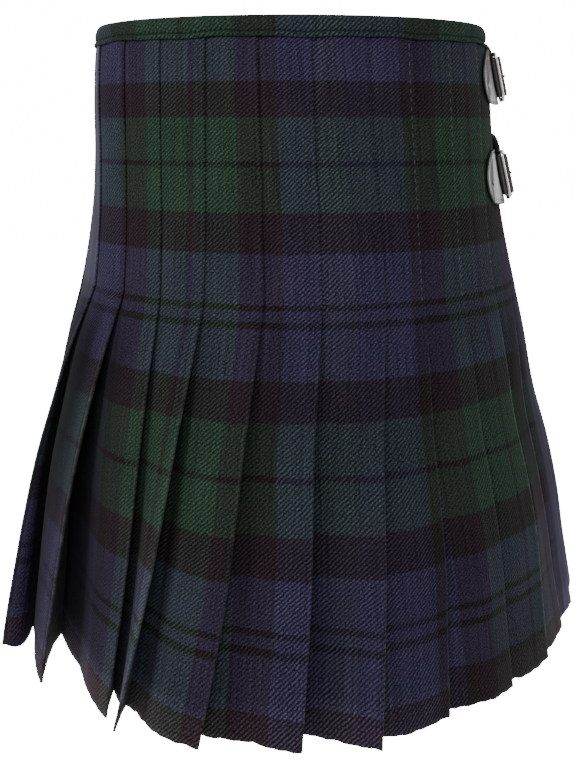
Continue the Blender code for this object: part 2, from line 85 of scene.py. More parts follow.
# The round form at each height: half its width, how far its middle is shifted to the wearer's
# right, how far in front of the origin it is widest, its reach back and front, and the power of
# its oval (2 is an ellipse, less is more pointed at the back).
FORM_COLUMNS = ("down", "half_width", "shift", "widest_y", "back", "front", "power")
FORM = (
    (0.0, 150.5, -1.0, 0.0, 105.0, 105.0, 2.05),
    (18.0, 154.0, -1.0, 0.0, 107.5, 106.0, 2.05),
    (50.0, 157.5, 0.0, 0.0, 112.0, 108.0, 2.05),
    (100.0, 161.0, 2.0, 1.0, 124.0, 112.0, 2.05),
    (148.0, 168.0, 4.0, 3.0, 139.0, 117.0, 2.00),
    (195.0, 178.5, 5.0, 6.0, 153.0, 122.0, 2.00),
    (243.0, 193.0, 4.0, 10.0, 164.0, 127.0, 1.95),
    (292.0, 206.5, 3.0, 16.0, 173.0, 132.0, 1.90),
    (341.0, 222.5, 3.5, 22.0, 182.0, 137.0, 1.88),
    (390.0, 236.0, 3.5, 28.0, 191.0, 142.0, 1.85),
    (440.0, 248.5, 2.0, 34.0, 199.0, 147.0, 1.82),
    (497.0, 264.5, -0.5, 40.0, 208.0, 152.0, 1.80),
)

# The knife pleats from the wearer's left to the right: where the folded edge runs at the waist,
# the fell's end, the knee and the hem, and how it stands open at the hem: the lift of its edge,
# the gap down to the next panel, how far back its inner fold lies, how much deeper than that
# panel the fold is, how far its underside bellies out, and the crown of its panel.
PLEAT_COLUMNS = ("waist", "fell", "knee", "hem", "lift", "gap", "back", "sink", "belly", "crown")
PLEATS = (
    (-205.0, -232.0, -300.0, -350.0, -8.0, 8.0, 30.0, 3.0, 0.0, 0.0),
    (-168.0, -184.0, -265.0, -278.0, 12.0, 25.0, 17.0, 3.0, 14.0, 0.0),
    (-130.0, -141.0, -190.0, -211.0, 9.0, 32.0, 60.0, 11.0, 0.0, 0.0),
    (-96.0, -104.0, -123.0, -141.0, 4.0, 14.0, 17.0, 8.0, 0.0, 2.0),
    (-60.0, -68.0, -94.0, -125.0, 15.0, 23.0, 13.0, 4.0, 0.0, 0.0),
    (-23.0, -25.0, -41.5, -63.0, 11.0, 13.0, 36.0, 4.0, 0.0, 4.0),
    (14.0, 15.0, 10.5, 7.0, 2.0, 17.0, 40.0, 3.0, 0.0, -5.0),
    (52.0, 60.0, 60.0, 61.0, 10.0, 14.0, 32.0, 8.0, 0.0, -3.0),
    (87.0, 91.0, 108.0, 125.0, -4.0, 7.0, 42.0, 2.0, 0.0, 4.0),
    (122.0, 128.0, 160.0, 192.0, -3.0, 4.0, 38.0, 1.0, 0.0, 3.0),
    (158.0, 168.0, 210.0, 247.0, -3.0, 4.0, 36.0, 1.0, 0.0, 2.0),
    (194.0, 204.0, 240.0, 303.0, -8.0, 5.0, 36.0, 1.0, 0.0, 1.0),
    (230.0, 240.0, 285.0, 350.0, -4.0, 6.0, 30.0, 1.0, 0.0, 1.0),
    (262.0, 275.0, 330.0, 398.0, 2.0, 6.0, 28.0, 1.0, 0.0, 1.0),
)
LEFT_END = (-225.0, -258.0, -338.0, -405.0)     # the pleated length ends here on the left
RIGHT_END = (275.0, 292.0, 352.0, 425.0)        # and here on the right, at the same stations
CLOSED_BACK = 0.6       # inner fold of a closed pleat, as a share of the width of its panel
CLOSED_CROWN = -0.5
CROWN_LEAD = 1.5        # a panel's crown lies this far before the inner fold
TUCK = 1.0              # a panel clears the edge that covers it by this much
SAG = 2.2               # the cloth sinks this much deeper behind an open edge
LAST_OUT = -2.4         # how far out the pleated length ends, under the outer apron

# How many repeats of the tartan lie above each height of the cloth, counted from a black to
# green change. The cloth is drawn a little at the waist, so the repeats are shorter there.
COURSES = ((0.0, -0.365), (44.0, -0.132), (134.0, 0.332), (208.0, 0.697), (274.0, 1.0),
           (351.0, 1.334), (431.0, 1.697), (497.0, 1.955))
BAND_COURSE = 0.17      # and on the waistband, at its inner lower edge

# ---------------------------------------------------------------- the front
APRON_REVEAL = 12.0     # the outer apron stops this far before the pleats
UNDERLAP = 4.0          # the inner apron starts this far behind the pleats' end
UNDER_SHORT = 2.0 / 19.0        # share of the front by which the inner apron stops short
APRON_FACE = 0.75       # how far out its outer face lies
APRON_MIDDLE = 0.166    # the middle of an apron lies this share of a repeat into a green block

# ---------------------------------------------------------------- how the cloth is worn, with its painted light and shade
# The tables below go by the number of the pleat, from 0 at the wearer's left.
STITCHED = 0.42         # how plainly the fell's stitches show where they lie on top
SUNK = 0.15 * STITCHED  # and where they are sunk in the nap
PLAIN_STITCHED = (8, 9, 10, 12)     # the pleats where they lie on top
EDGE_LIGHT = 0.22       # how light the painted highlight on a folded edge is below the fell, and where it is lighter
LIGHT_EDGES = {1: 0.80, 2: 0.60, 3: 0.40, 4: 0.70, 10: 0.75, 11: 0.85}
# Painted sheen that shows at a glance on the panels at both sides, and painted shade on pleat
# 11: its colour, and how much of it.
PAINTED_AT_GLANCE = {1: (0.0820, 0.0790, 0.1120, 0.60),
       11: (0.0105, 0.0075, 0.0095, 0.60), 12: (0.0290, 0.0235, 0.0480, 0.80),
       13: (0.0340, 0.0265, 0.0600, 0.90), 14: (0.0340, 0.0265, 0.0600, 0.90)}
PAINTED_AT_GLANCE_ABOVE = 1           # up to this pleat it shows above the fell's end, and past it below
# Painted shade on a panel in the shadow of the fold before it, or painted light where the first
# number is below zero. The numbers are how dark, and the shares of the panel at which that starts
# to lift and has lifted, first where the pleats open and then at the hem.
PAINTED_SHADING = {1: (0.79, 0.00, -0.10, 0.79, 1.00, 0.55), 2: (0.79, 0.60, 0.92, 0.79, 0.30, 0.80),
           3: (0.62, 0.15, 0.85, 0.62, 0.20, 0.85), 4: (0.0, 0.80, 0.30, -0.80, 0.75, 0.35),
           5: (0.50, 0.20, 0.60, 0.15, 0.00, 0.20), 6: (0.45, 0.40, 0.95, 0.00, 0.00, 0.25),
           7: (0.35, 0.30, 0.90, 0.60, 0.40, 0.98), 8: (0.35, 0.75, 0.45, 0.35, 0.80, 0.55),
           11: (0.45, 1.00, 1.10, -0.60, 1.00, 1.10)}
# How much lighter the last of the cloth is made than its dye.
HEM_LIGHT = {3: 1.50, 5: 1.40, 6: 1.10, 7: 1.30, 9: 0.25, 10: 0.50}
HEM_LIGHT_ELSEWHERE = 0.80
SLIPPED = {9: 0.045, 10: 0.030}     # the cloth is drawn up by this share of a repeat at the hem
UNDERSIDES = {1: 0.55, 2: 0.40}     # painted shade: how much darker the underside of a fold is made

# Between which heights each change comes in.
LAYERS_PART = (FELL_END - 45.0, FELL_END + 100.0)
OPENED = (FELL_END, FELL_END + 70.0)            # the painted edge highlights and painted sheen show from here on
PAINTED_AT_GLANCE_SINKS = (FELL_END - 15.0, FELL_END + 20.0)  # on the leftmost panels the painted sheen shows down to here
PAINTED_SHADING_STARTS = (FELL_END - 10.0, FELL_END + 42.0)
PAINTED_SHADING_TURNS = (FELL_END + 80.0, HEM - 60.0)   # from the first numbers to the hem's
SLIPS = (HEM - 66.0, HEM - 27.0)
HEM_LIGHTENS = (HEM - 34.0, HEM - 12.0)
HEM_WAVERS = (HEM - 8.0, HEM)

# Soft creases of the cloth: where each lies, how high up it starts and ends, how far it leans to
# the wearer's right on its way down, half its width, and its height, negative for a trough.
CREASE_COLUMNS = ("along", "top", "bottom", "lean", "width", "depth")
BACK_CREASES = (
    (-178.0, 250.0, 470.0, -62.0, 9.0, -1.6),
    (-96.0, 300.0, 497.0, -46.0, 12.0, 1.4),
    (-30.0, 330.0, 497.0, -40.0, 13.0, -1.3),
    (-2.0, 380.0, 497.0, -12.0, 9.0, 1.2),
    (38.0, 350.0, 497.0, 4.0, 11.0, -1.4),
    (84.0, 290.0, 420.0, 10.0, 12.0, 1.1),
    (112.0, 390.0, 497.0, 14.0, 12.0, -1.6),
    (138.0, 330.0, 497.0, 26.0, 11.0, 1.6),
    (176.0, 400.0, 497.0, 22.0, 9.0, -1.3),
    (205.0, 300.0, 480.0, 46.0, 10.0, 1.4),
    (268.0, 260.0, 470.0, 62.0, 12.0, -1.2),
)
FRONT_CREASES = (
    (330.0, 60.0, 240.0, 24.0, 12.0, 1.5),
    (352.0, 150.0, 430.0, 60.0, 16.0, -2.0),
    (405.0, 240.0, 497.0, 44.0, 18.0, 2.2),
    (452.0, 330.0, 497.0, 10.0, 15.0, -1.8),
    (512.0, 210.0, 460.0, 8.0, 20.0, 1.8),
    (566.0, 300.0, 497.0, -10.0, 16.0, -2.0),
    (600.0, 120.0, 380.0, -26.0, 15.0, 1.6),
    (640.0, 250.0, 497.0, 36.0, 14.0, -1.5),
)

# ---------------------------------------------------------------- leather and buckles
HARDWARE_LEAN = 6.0     # degrees that the buckles lean out at the bottom, past the cloth's slope
LEATHER_OFF = 0.55 + SEAM       # inner face of the leather, off the cloth's middle
TAB_HALF_HEIGHT = 21.5
BLEND_X = (-13.0, 1.0)  # leather goes from the cloth's shape to the buckle's plane between these
BAR_X = 17.0            # centre bar of the frame, in front of the tab's root
BAR_HALF = 1.2
FRAME_X = (3.0, 33.0)   # the frame's back and front ends
FRAME_RIM = 3.0
STRAP_HOLES = ((44.0, 0.0), (62.0, 0.0), (80.0, 0.0))
TAB_HOLES = ((-14.0, 6.0),)


# ---------------------------------------------------------------- shared shape functions
def through(stations: Array, values: Array, at: Array) -> Array:
    """Run a smooth line through a table's rows.

    Each span is a cubic, with the slopes of the neighbouring spans averaged at its two ends.

    Args:
        stations: places of the rows, rising.
        values: the value in each row.
        at: places to work out, held within the table's ends.

    Returns:
        The value at each place.
    """
    slope = np.gradient(values, stations)
    held = np.clip(at, stations[0], stations[-1])
    left = np.clip(np.searchsorted(stations, held, side="right") - 1, 0, len(stations) - 2)
    span = stations[left + 1] - stations[left]
    t = (held - stations[left]) / span
    rise = t * t * (3.0 - 2.0 * t)
    return (values[left] * (1.0 - rise) + values[left + 1] * rise
            + span * slope[left] * t * (1.0 - t) ** 2
            - span * slope[left + 1] * t * t * (1.0 - t))


def eased(value: Array, low: float, high: float) -> Array:
    """Rise smoothly from 0 at low to 1 at high: three times the square less twice the cube."""
    t = np.clip((value - low) / (high - low), 0.0, 1.0)
    return t * t * (3.0 - 2.0 * t)


def between(low: Array, high: Array, share: Array) -> Array:
    """Go a share of the way from low to high, in a straight line."""
    return low + (high - low) * share


def spread(count: int) -> Array:
    """Return that many equal steps from 0 to 1, as a row."""
    return np.linspace(0.0, 1.0, count)[None, :]


def arc(middle: Array, height: Array, radius: float, start: float, stop: float,
        count: int) -> tuple[Array, Array]:
    """Return points of a circle: its middle plus the radius times the cosine and the sine.

    Args:
        middle: place of its middle.
        height: height of its middle.
        radius: its radius.
        start: first angle in degrees.
        stop: last angle.
        count: how many points.

    Returns:
        Places and heights.
    """
    angle = np.radians(np.linspace(start, stop, count))
    return middle + radius * np.cos(angle), height + radius * np.sin(angle)


def drawn(value: Array, power: float) -> Array:
    """Return the power of each value's size, with the value's own sign."""
    return np.sign(value) * np.abs(value) ** power


def walked(x: Array, y: Array) -> Array:
    """Return the length walked along each row of plan points, from 0 at its first."""
    length = np.zeros(x.shape)
    length[..., 1:] = np.cumsum(np.hypot(np.diff(x, axis=-1), np.diff(y, axis=-1)), axis=-1)
    return length


def fold_line(stations: tuple[float, ...], down: Array) -> Array:
    """Follow a folded edge from the waist to the hem.

    It is straight from the waist to the fell's end, and from there the parabola through the
    fell, the knee and the hem.

    Args:
        stations: places along the cloth at the waist, the fell's end, the knee and the hem.
        down: heights below the top edge.

    Returns:
        The edge's place at each height.
    """
    waist, fell, knee, hem = stations
    straight = between(waist, fell, down / FELL_END)
    a = (down - KNEE) * (down - HEM) / ((FELL_END - KNEE) * (FELL_END - HEM))
    b = (down - FELL_END) * (down - HEM) / ((KNEE - FELL_END) * (KNEE - HEM))
    c = (down - FELL_END) * (down - KNEE) / ((HEM - FELL_END) * (HEM - KNEE))
    return np.where(down <= FELL_END, straight, a * fell + b * knee + c * hem)


def creased(table: tuple[tuple[float, ...], ...], along: Array, down: Array) -> Array:
    """Add up soft creases: a bell across each, faded in and out along its length.

    Args:
        table: rows of crease sizes.
        along: places round the garment.
        down: heights below the top edge.

    Returns:
        How far each place is moved outwards.
    """
    total = np.zeros(np.broadcast(along, down).shape)
    for row in table:
        crease = dict(zip(CREASE_COLUMNS, row))
        share = (down - crease["top"]) / (crease["bottom"] - crease["top"])
        fade = eased(share, 0.0, 0.45)
        if crease["bottom"] < HEM:
            fade = fade * (1.0 - eased(share, 0.6, 1.0))
        middle = crease["along"] + crease["lean"] * np.clip(share, 0.0, 1.0)
        total += crease["depth"] * fade * np.exp(-((along - middle) / crease["width"]) ** 2)
    return total


def pressed(down: Array) -> Array:
    """Return how far the layers stand apart, as a share, where they are pressed and stitched."""
    return between(PRESSED, 1.0, eased(down, *LAYERS_PART))


def hem_drop(along: Array, down: Array) -> Array:
    """Let the last course of the cloth waver: three sines of unlike lengths, faded in at the hem.

    Args:
        along: places round the garment.
        down: heights below the top edge.

    Returns:
        Heights with the raw edge's waver added.
    """
    waver = (0.45 * np.sin(along / 1.9) + 0.35 * np.sin(along / 3.3 + 1.0)
             + 0.5 * np.sin(along / 7.1 + 2.0) - 0.3)
    return down + waver * eased(down, *HEM_WAVERS)


@dataclass
class WornForm:
    """The garment's round form: an oval at each height, measured along its own length."""

    step: float = 1.0       # height between two ovals
    samples: int = 720      # lengths that each oval is divided into

    def __post_init__(self) -> None:
        """Work out the ovals once.

        Each oval has half-width times the signed power of a sine across, and its reach back or
        front times the power of a cosine in depth, and is then divided into equal lengths.
        """
        table = np.array(FORM)
        self.downs = np.arange(-2.0, HEM + 4.0, self.step)
        size = {name: through(table[:, 0], table[:, index], self.downs)[:, None]
                for index, name in enumerate(FORM_COLUMNS)}
        angle = np.linspace(-math.pi, math.pi, self.samples + 1)[None, :]
        power = 2.0 / size["power"]
        side = np.sin(angle)
        depth = np.cos(angle)
        reach = np.where(depth > 0.0, -(size["back"] + size["widest_y"]),
                         size["front"] - size["widest_y"])
        x = size["shift"] + size["half_width"] * drawn(side, power)
        y = size["widest_y"] + reach * np.abs(depth) ** power
        length = walked(x, y)
        self.girths = length[:, -1]
        share = np.linspace(0.0, 1.0, self.samples + 1)
        self.plan = np.stack([
            np.stack([np.interp(share * girth, run, across), np.interp(share * girth, run, deep)],
                     axis=-1)
            for girth, run, across, deep in zip(self.girths, length, x, y)])

    def girth(self, down: Array) -> Array:
        """Return the length round the form at each height."""
        return np.interp(down, self.downs, self.girths)

    def on_form(self, along: Array, down: Array) -> Array:
        """Look up plan points, blending the two nearest ovals and samples.

        Args:
            along: places round the garment, of any turn.
            down: heights below the top edge.

        Returns:
            Plan points, with (x, y) on the last axis.
        """
        along, down = np.broadcast_arrays(along, down)
        row = np.clip((down - self.downs[0]) / self.step, 0.0, len(self.downs) - 1.001)
        low = row.astype(int)
        high_share = (row - low)[..., None]
        place = ((0.5 + along / self.girth(down)) % 1.0) * self.samples
        left = np.minimum(place.astype(int), self.samples - 1)
        right_share = (place - left)[..., None]
        upper = between(self.plan[low, left], self.plan[low, left + 1], right_share)
        lower = between(self.plan[low + 1, left], self.plan[low + 1, left + 1], right_share)
        return between(upper, lower, high_share)

    def tangent(self, along: Array, down: Array) -> Array:
        """Return unit plan directions of travel, the chord of 2 mm to each side."""
        run = self.on_form(along + 2.0, down) - self.on_form(along - 2.0, down)
        return run / np.linalg.norm(run, axis=-1, keepdims=True)

    def point(self, along: Array, down: Array, out: Array) -> Array:
        """Return points that stand out from the oval along its outward normal.

        Args:
            along: places round the garment.
            down: heights below the top edge.
            out: distances outwards.

        Returns:
            Points in millimetres, with (x, y, z) on the last axis.
        """
        along, down, out = np.broadcast_arrays(along, down, out)
        base = self.on_form(along, down)
        run = self.tangent(along, down)
        return np.stack([base[..., 0] + run[..., 1] * out,
                         base[..., 1] - run[..., 0] * out, -down], axis=-1)


# ---------------------------------------------------------------- meshes
def grid_faces(rows: int, columns: int, closed: bool = False) -> Array:
    """Return the four-sided faces of a grid of points.

    Args:
        rows: rows of points.
        columns: points in a row.
        closed: join each row's last point to its first.

    Returns:
        One row of four point numbers for each face, outwards where rows run down and columns run
        to the viewer's right.
    """
    across = columns if closed else columns - 1
    row, column = np.meshgrid(np.arange(rows - 1), np.arange(across), indexing="ij")
    beside = (column + 1) % columns
    return np.stack([row * columns + column, (row + 1) * columns + column,
                     (row + 1) * columns + beside, row * columns + beside], axis=-1).reshape(-1, 4)


def new_object(name: str, points: Array, faces: list, material: Material,
               smooth: bool = True) -> Piece:
    """Make an object at the origin from points in millimetres.

    Args:
        name: name of the piece.
        points: points, with (x, y, z) on the last axis.
        faces: lists of point numbers.
        material: the piece's finish.
        smooth: shade the faces smooth.

    Returns:
        The new object, linked to the scene.
    """
    mesh = bpy.data.meshes.new(name)
    mesh.from_pydata((points.reshape(-1, 3) * MM).tolist(), [], faces)
    mesh.polygons.foreach_set("use_smooth", np.full(len(mesh.polygons), smooth))
    mesh.materials.append(material)
    mesh.update()
    made = bpy.data.objects.new(name, mesh)
    bpy.context.scene.collection.objects.link(made)
    return made


def lay_uv(made: Piece, name: str, corners: Array) -> None:
    """Write a UV map.

    Args:
        made: the piece.
        name: name of the map.
        corners: metres, a row for each face corner.
    """
    layer = made.data.uv_layers.new(name=name)
    layer.data.foreach_set("uv", corners.astype(np.float32).ravel())


def corner_values(left: Array, right: Array, upper: Array, lower: Array) -> Array:
    """Spread cloth coordinates over the corners of a grid's faces.

    Args:
        left: across the cloth at each face's left side, at each row of points.
        right: the same at its right side.
        upper: down the cloth at each face's upper side.
        lower: the same at its lower side.

    Returns:
        A pair for each corner, in the order of grid_faces.
    """
    across = np.stack([left[:-1], left[1:], right[1:], right[:-1]], axis=-1)
    downward = np.stack([upper, lower, lower, upper], axis=-1)
    return np.stack([across, np.broadcast_to(downward, across.shape)], axis=-1).reshape(-1, 2)


def mark(made: Piece, name: str, values: Array, domain: str = "FACE") -> None:
    """Keep a number or a colour for each face or point of a piece, for its finish to read.

    Args:
        made: the piece.
        name: name of the attribute.
        values: numbers, or a grid of colours on the last of three axes.
        domain: FACE or POINT.
    """
    kind, part = ("FLOAT_COLOR", "color") if values.ndim == 3 else ("FLOAT", "value")
    layer = made.data.attributes.new(name, kind, domain)
    layer.data.foreach_set(part, values.astype(np.float32).ravel())


def faced_out(made: Piece) -> None:
    """Turn a closed mesh's faces outwards.

    Args:
        made: the piece.
    """
    work = bmesh.new()
    work.from_mesh(made.data)
    bmesh.ops.remove_doubles(work, verts=work.verts, dist=1e-6)
    bmesh.ops.recalc_face_normals(work, faces=work.faces)
    work.to_mesh(made.data)
    work.free()


def stands_for(made: Piece, node: str) -> Piece:
    """Let a finished piece stand for its node of the frame, on the kilt's one body.

    Args:
        made: the piece.
        node: the node that it replaces.

    Returns:
        The piece.
    """
    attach(made, "root")
    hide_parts(node)
    return made


def thicken(made: Piece, wall: float) -> None:
    """Give a sheet its wall, half to each side.

    Args:
        made: the sheet.
        wall: its thickness.
    """
    solid = made.modifiers.new("wall", "SOLIDIFY")
    solid.thickness = wall * MM
    solid.offset = 0.0
    solid.use_even_offset = True


def courses(down: Array) -> Array:
    """Return the distance down the tartan, in metres, at each height below the top edge."""
    table = np.array(COURSES)
    return through(table[:, 0], table[:, 1], down) * SETT * MM


# ---------------------------------------------------------------- shader helpers
class Shading:
    """A short way to place nodes in one tree."""

    def __init__(self, tree: Tree) -> None:
        """Keep the tree to add to."""
        self.tree = tree

    def link(self, source: Socket, target: Socket) -> None:
        """Join an output to an input."""
        self.tree.links.new(source, target)

    def set_input(self, socket: Socket, value: Socket | float | tuple) -> None:
        """Give an input a link or a constant.

        Args:
            socket: the input.
            value: an output to link, or a constant.
        """
        if isinstance(value, Socket):
            self.link(value, socket)
        else:
            socket.default_value = value

    def fill(self, made: Node, **inputs: Socket | float | tuple) -> Node:
        """Give a node's inputs their links or constants.

        Args:
            made: the node.
            **inputs: values or links by input name, with an underscore for a space.

        Returns:
            The node.
        """
        for name, value in inputs.items():
            self.set_input(made.inputs[name.replace("_", " ")], value)
        return made

    def node(self, kind: str, **inputs: Socket | float | tuple) -> Node:
        """Place a node of a Blender type, and fill its inputs as fill does."""
        return self.fill(self.tree.nodes.new(kind), **inputs)

    def use(self, group: Tree, **inputs: Socket | float | tuple) -> Node:
        """Place a shared node group, and fill its inputs as fill does."""
        made = self.tree.nodes.new("ShaderNodeGroup")
        made.node_tree = group
        return self.fill(made, **inputs)

    def math(self, operation: str, first: Socket | float, second: Socket | float = 0.0,
             third: Socket | float = 0.0, clamp: bool = False) -> Socket:
        """Place a Math node.

        Args:
            operation: its operation.
            first: first value.
            second: second value.
            third: third value.
            clamp: hold the result between 0 and 1.

        Returns:
            Its output.
        """
        made = self.tree.nodes.new("ShaderNodeMath")
        made.operation = operation
        made.use_clamp = clamp
        for socket, value in zip(made.inputs, (first, second, third)):
            self.set_input(socket, value)
        return made.outputs[0]

    def times(self, first: Socket, *others: Socket | float) -> Socket:
        """Multiply values together, from the left."""
        for other in others:
            first = self.math("MULTIPLY", first, other)
        return first

    def bell(self, value: Socket) -> Socket:
        """Return a bell, which is e to the power of less a value's square."""
        return self.math("EXPONENT", self.times(value, value, -1.0))

    def about(self, base: Socket | float, value: Socket, swing: Socket | float) -> Socket:
        """Add to a base how far a value of 0 to 1 lies off its middle, times a swing."""
        return self.math("MULTIPLY_ADD", self.math("SUBTRACT", value, 0.5), swing, base)

    def rise(self, value: Socket, low: float, high: float, start: float = 0.0,
             stop: float = 1.0) -> Socket:
        """Place a straight rise that stays level past both its ends.

        Args:
            value: what it is read at.
            low: where it starts.
            high: where it stops.
            start: the result up to low.
            stop: the result from high on.

        Returns:
            The result.
        """
        return self.node("ShaderNodeMapRange", Value=value, From_Min=low, From_Max=high,
                         To_Min=start, To_Max=stop).outputs[0]

    def mix(self, factor: Socket | float, first: Socket | tuple, second: Socket | tuple,
            blend: str = "MIX") -> Socket:
        """Mix two colours.

        Args:
            factor: share of the second.
            first: first colour.
            second: second colour.
            blend: the way they are mixed.

        Returns:
            The mixed colour.
        """
        made = self.tree.nodes.new("ShaderNodeMix")
        made.data_type = "RGBA"
        made.blend_type = blend
        for index, value in ((0, factor), (6, first), (7, second)):
            self.set_input(made.inputs[index], value)
        return made.outputs[2]

    def toned(self, colour: Socket | tuple, tone: Socket) -> Socket:
        """Multiply a colour by a tone."""
        return self.mix(1.0, colour, tone, "MULTIPLY")

    def noise(self, vector: Socket, scale: float, detail: float = 2.0,
              roughness: float = 0.5) -> Socket:
        """Place a noise texture.

        Args:
            vector: where it is read.
            scale: blobs to a metre.
            detail: octaves.
            roughness: weight of the finer octaves.

        Returns:
            Its value output.
        """
        return self.node("ShaderNodeTexNoise", Vector=vector, Scale=scale, Detail=detail,
                         Roughness=roughness).outputs[0]

    def streaks(self, vector: Socket, scales: tuple[float, float], detail: float,
                roughness: float = 0.5) -> Socket:
        """Place a noise that is drawn out, so many streaks to a metre across and down."""
        drawn_out = self.node("ShaderNodeMapping", Vector=vector, Scale=(*scales, 1.0))
        return self.noise(drawn_out.outputs[0], 1.0, detail, roughness)

    def place(self) -> Socket:
        """Return the object's own coordinates."""
        return self.node("ShaderNodeTexCoord").outputs["Object"]

    def laid(self, name: str) -> tuple[Socket, Socket, Socket]:
        """Read a UV map.

        Args:
            name: name of the map.

        Returns:
            Its place, and its two coordinates.
        """
        made = self.tree.nodes.new("ShaderNodeUVMap")
        made.uv_map = name
        split = self.node("ShaderNodeSeparateXYZ", Vector=made.outputs[0])
        return made.outputs[0], split.outputs[0], split.outputs[1]

    def marked(self, name: str, output: str = "Fac") -> Socket:
        """Return the number, or with the output Color the colour, that a mesh is marked with."""
        made = self.tree.nodes.new("ShaderNodeAttribute")
        made.attribute_name = name
        return made.outputs[output]

    def bump(self, surface: Node, height: Socket, strength: float, distance: float) -> None:
        """Raise a surface by a height of 0 to 1 times a distance in metres."""
        made = self.node("ShaderNodeBump", Strength=strength, Distance=distance, Height=height)
        self.link(made.outputs[0], surface.inputs["Normal"])


def new_material(name: str) -> tuple[Material, Shading, Node]:
    """Start a material.

    Args:
        name: its name.

    Returns:
        The material, a Shading for it, and its surface.
    """
    material = bpy.data.materials.new(name)
    material.use_nodes = True
    tree = material.node_tree
    return material, Shading(tree), tree.nodes["Principled BSDF"]


def new_group(name: str, inputs: dict[str, str], outputs: dict[str, str]
              ) -> tuple[Tree, Shading, dict[str, Socket], Node]:
    """Start a shared shader node group.

    Args:
        name: the group's name.
        inputs: socket kind for each input name.
        outputs: socket kind for each output name.

    Returns:
        The group, a Shading for it, its inputs by name, and its output node.
    """
    group = bpy.data.node_groups.new(name, "ShaderNodeTree")
    for direction, sockets in (("INPUT", inputs), ("OUTPUT", outputs)):
        for label, kind in sockets.items():
            group.interface.new_socket(label, in_out=direction, socket_type=kind)
    start = group.nodes.new("NodeGroupInput")
    stop = group.nodes.new("NodeGroupOutput")
    return group, Shading(group), {label: start.outputs[label] for label in inputs}, stop


FLOAT = "NodeSocketFloat"
COLOR = "NodeSocketColor"
VECTOR = "NodeSocketVector"


def stripe_group(name: str, sett: float, stripes: Stripes) -> Tree:
    """Build a group that gives the colour of the thread at a distance across the tartan.

    It also gives how much of the threads that cross it shows through, kept as the alpha of each
    stripe.

    Args:
        name: the group's name.
        sett: length of the repeat.
        stripes: where each stripe starts, as a share of the repeat, and its colour.

    Returns:
        The group.
    """
    group, shade, given, stop = new_group(name, {"Distance": FLOAT},
                                          {"Color": COLOR, "Shows": FLOAT})
    share = shade.math("FRACT", shade.math("DIVIDE", given["Distance"], sett * MM))
    ramp = shade.node("ShaderNodeValToRGB", Fac=share)
    ramp.color_ramp.interpolation = "CONSTANT"
    elements = ramp.color_ramp.elements
    while len(elements) < len(stripes):
        elements.new(1.0)
    for element, (start, colour) in zip(elements, stripes):
        element.position = start
        element.color = colour
    shade.fill(stop, Color=ramp.outputs[0], Shows=ramp.outputs[1])
    return group


def twill_group() -> Tree:
    """Build a group for the weave of a twill, whose ribs rise to the right.

    Across and down the cloth add up to the distance across the ribs, and a sine of it says
    which of the two threads lies on top.

    Returns:
        The group, with the share of the warp that shows and the height of the rib.
    """
    group, shade, given, stop = new_group(
        "Twill", {"Across": FLOAT, "Down": FLOAT, "Pitch": FLOAT, "Softness": FLOAT},
        {"Warp": FLOAT, "Height": FLOAT})
    turn = shade.math("DIVIDE", shade.math("ADD", given["Across"], given["Down"]), given["Pitch"])
    wave = shade.math("SINE", shade.times(turn, 2.0 * math.pi))
    steepness = shade.math("DIVIDE", 0.5, given["Softness"])
    shade.fill(stop, Warp=shade.math("MULTIPLY_ADD", wave, steepness, 0.5, clamp=True),
               Height=shade.math("MULTIPLY_ADD", wave, 0.5, 0.5))
    return group


def wool_group() -> Tree:
    """Build a group that varies a cloth's colour: single threads, slubs and broad cloudiness.

    Returns:
        The group.
    """
    threads, slubs, clouds = 860.0, (620.0, 14.0), 16.0     # blobs to a metre
    group, shade, given, stop = new_group(
        "Wool", {"Color": COLOR, "Cloth": VECTOR, "Grain": FLOAT, "Streak": FLOAT, "Cloud": FLOAT},
        {"Color": COLOR, "Grain": FLOAT})
    grain = shade.noise(given["Cloth"], threads, 2.0, 0.75)
    tone = shade.about(1.0, grain, given["Grain"])
    tone = shade.about(tone, shade.streaks(given["Cloth"], slubs, 2.0), given["Streak"])
    tone = shade.about(tone, shade.noise(given["Cloth"], clouds, 3.0), given["Cloud"])
    shade.fill(stop, Color=shade.toned(given["Color"], tone), Grain=grain)
    return group


@dataclass(frozen=True)
class Dye:
    """The yarns, as linear colours, with how much of a crossing thread shows through them."""

    blue: Colour = (0.0246, 0.0200, 0.0445, 0.38)
    black: Colour = (0.0146, 0.0090, 0.0117, 0.23)
    green: Colour = (0.0154, 0.0308, 0.0200, 0.42)
    teal: Colour = (0.0268, 0.0268, 0.0435, 0.38)
    line: Colour = (0.0104, 0.0080, 0.0094, 0.38)
    thread: Colour = (0.10, 0.11, 0.11, 1.0)    # the fell's stitches
    lightening: Colour = (0.13, 0.14, 0.15, 1.0)      # a painted highlight on a folded edge
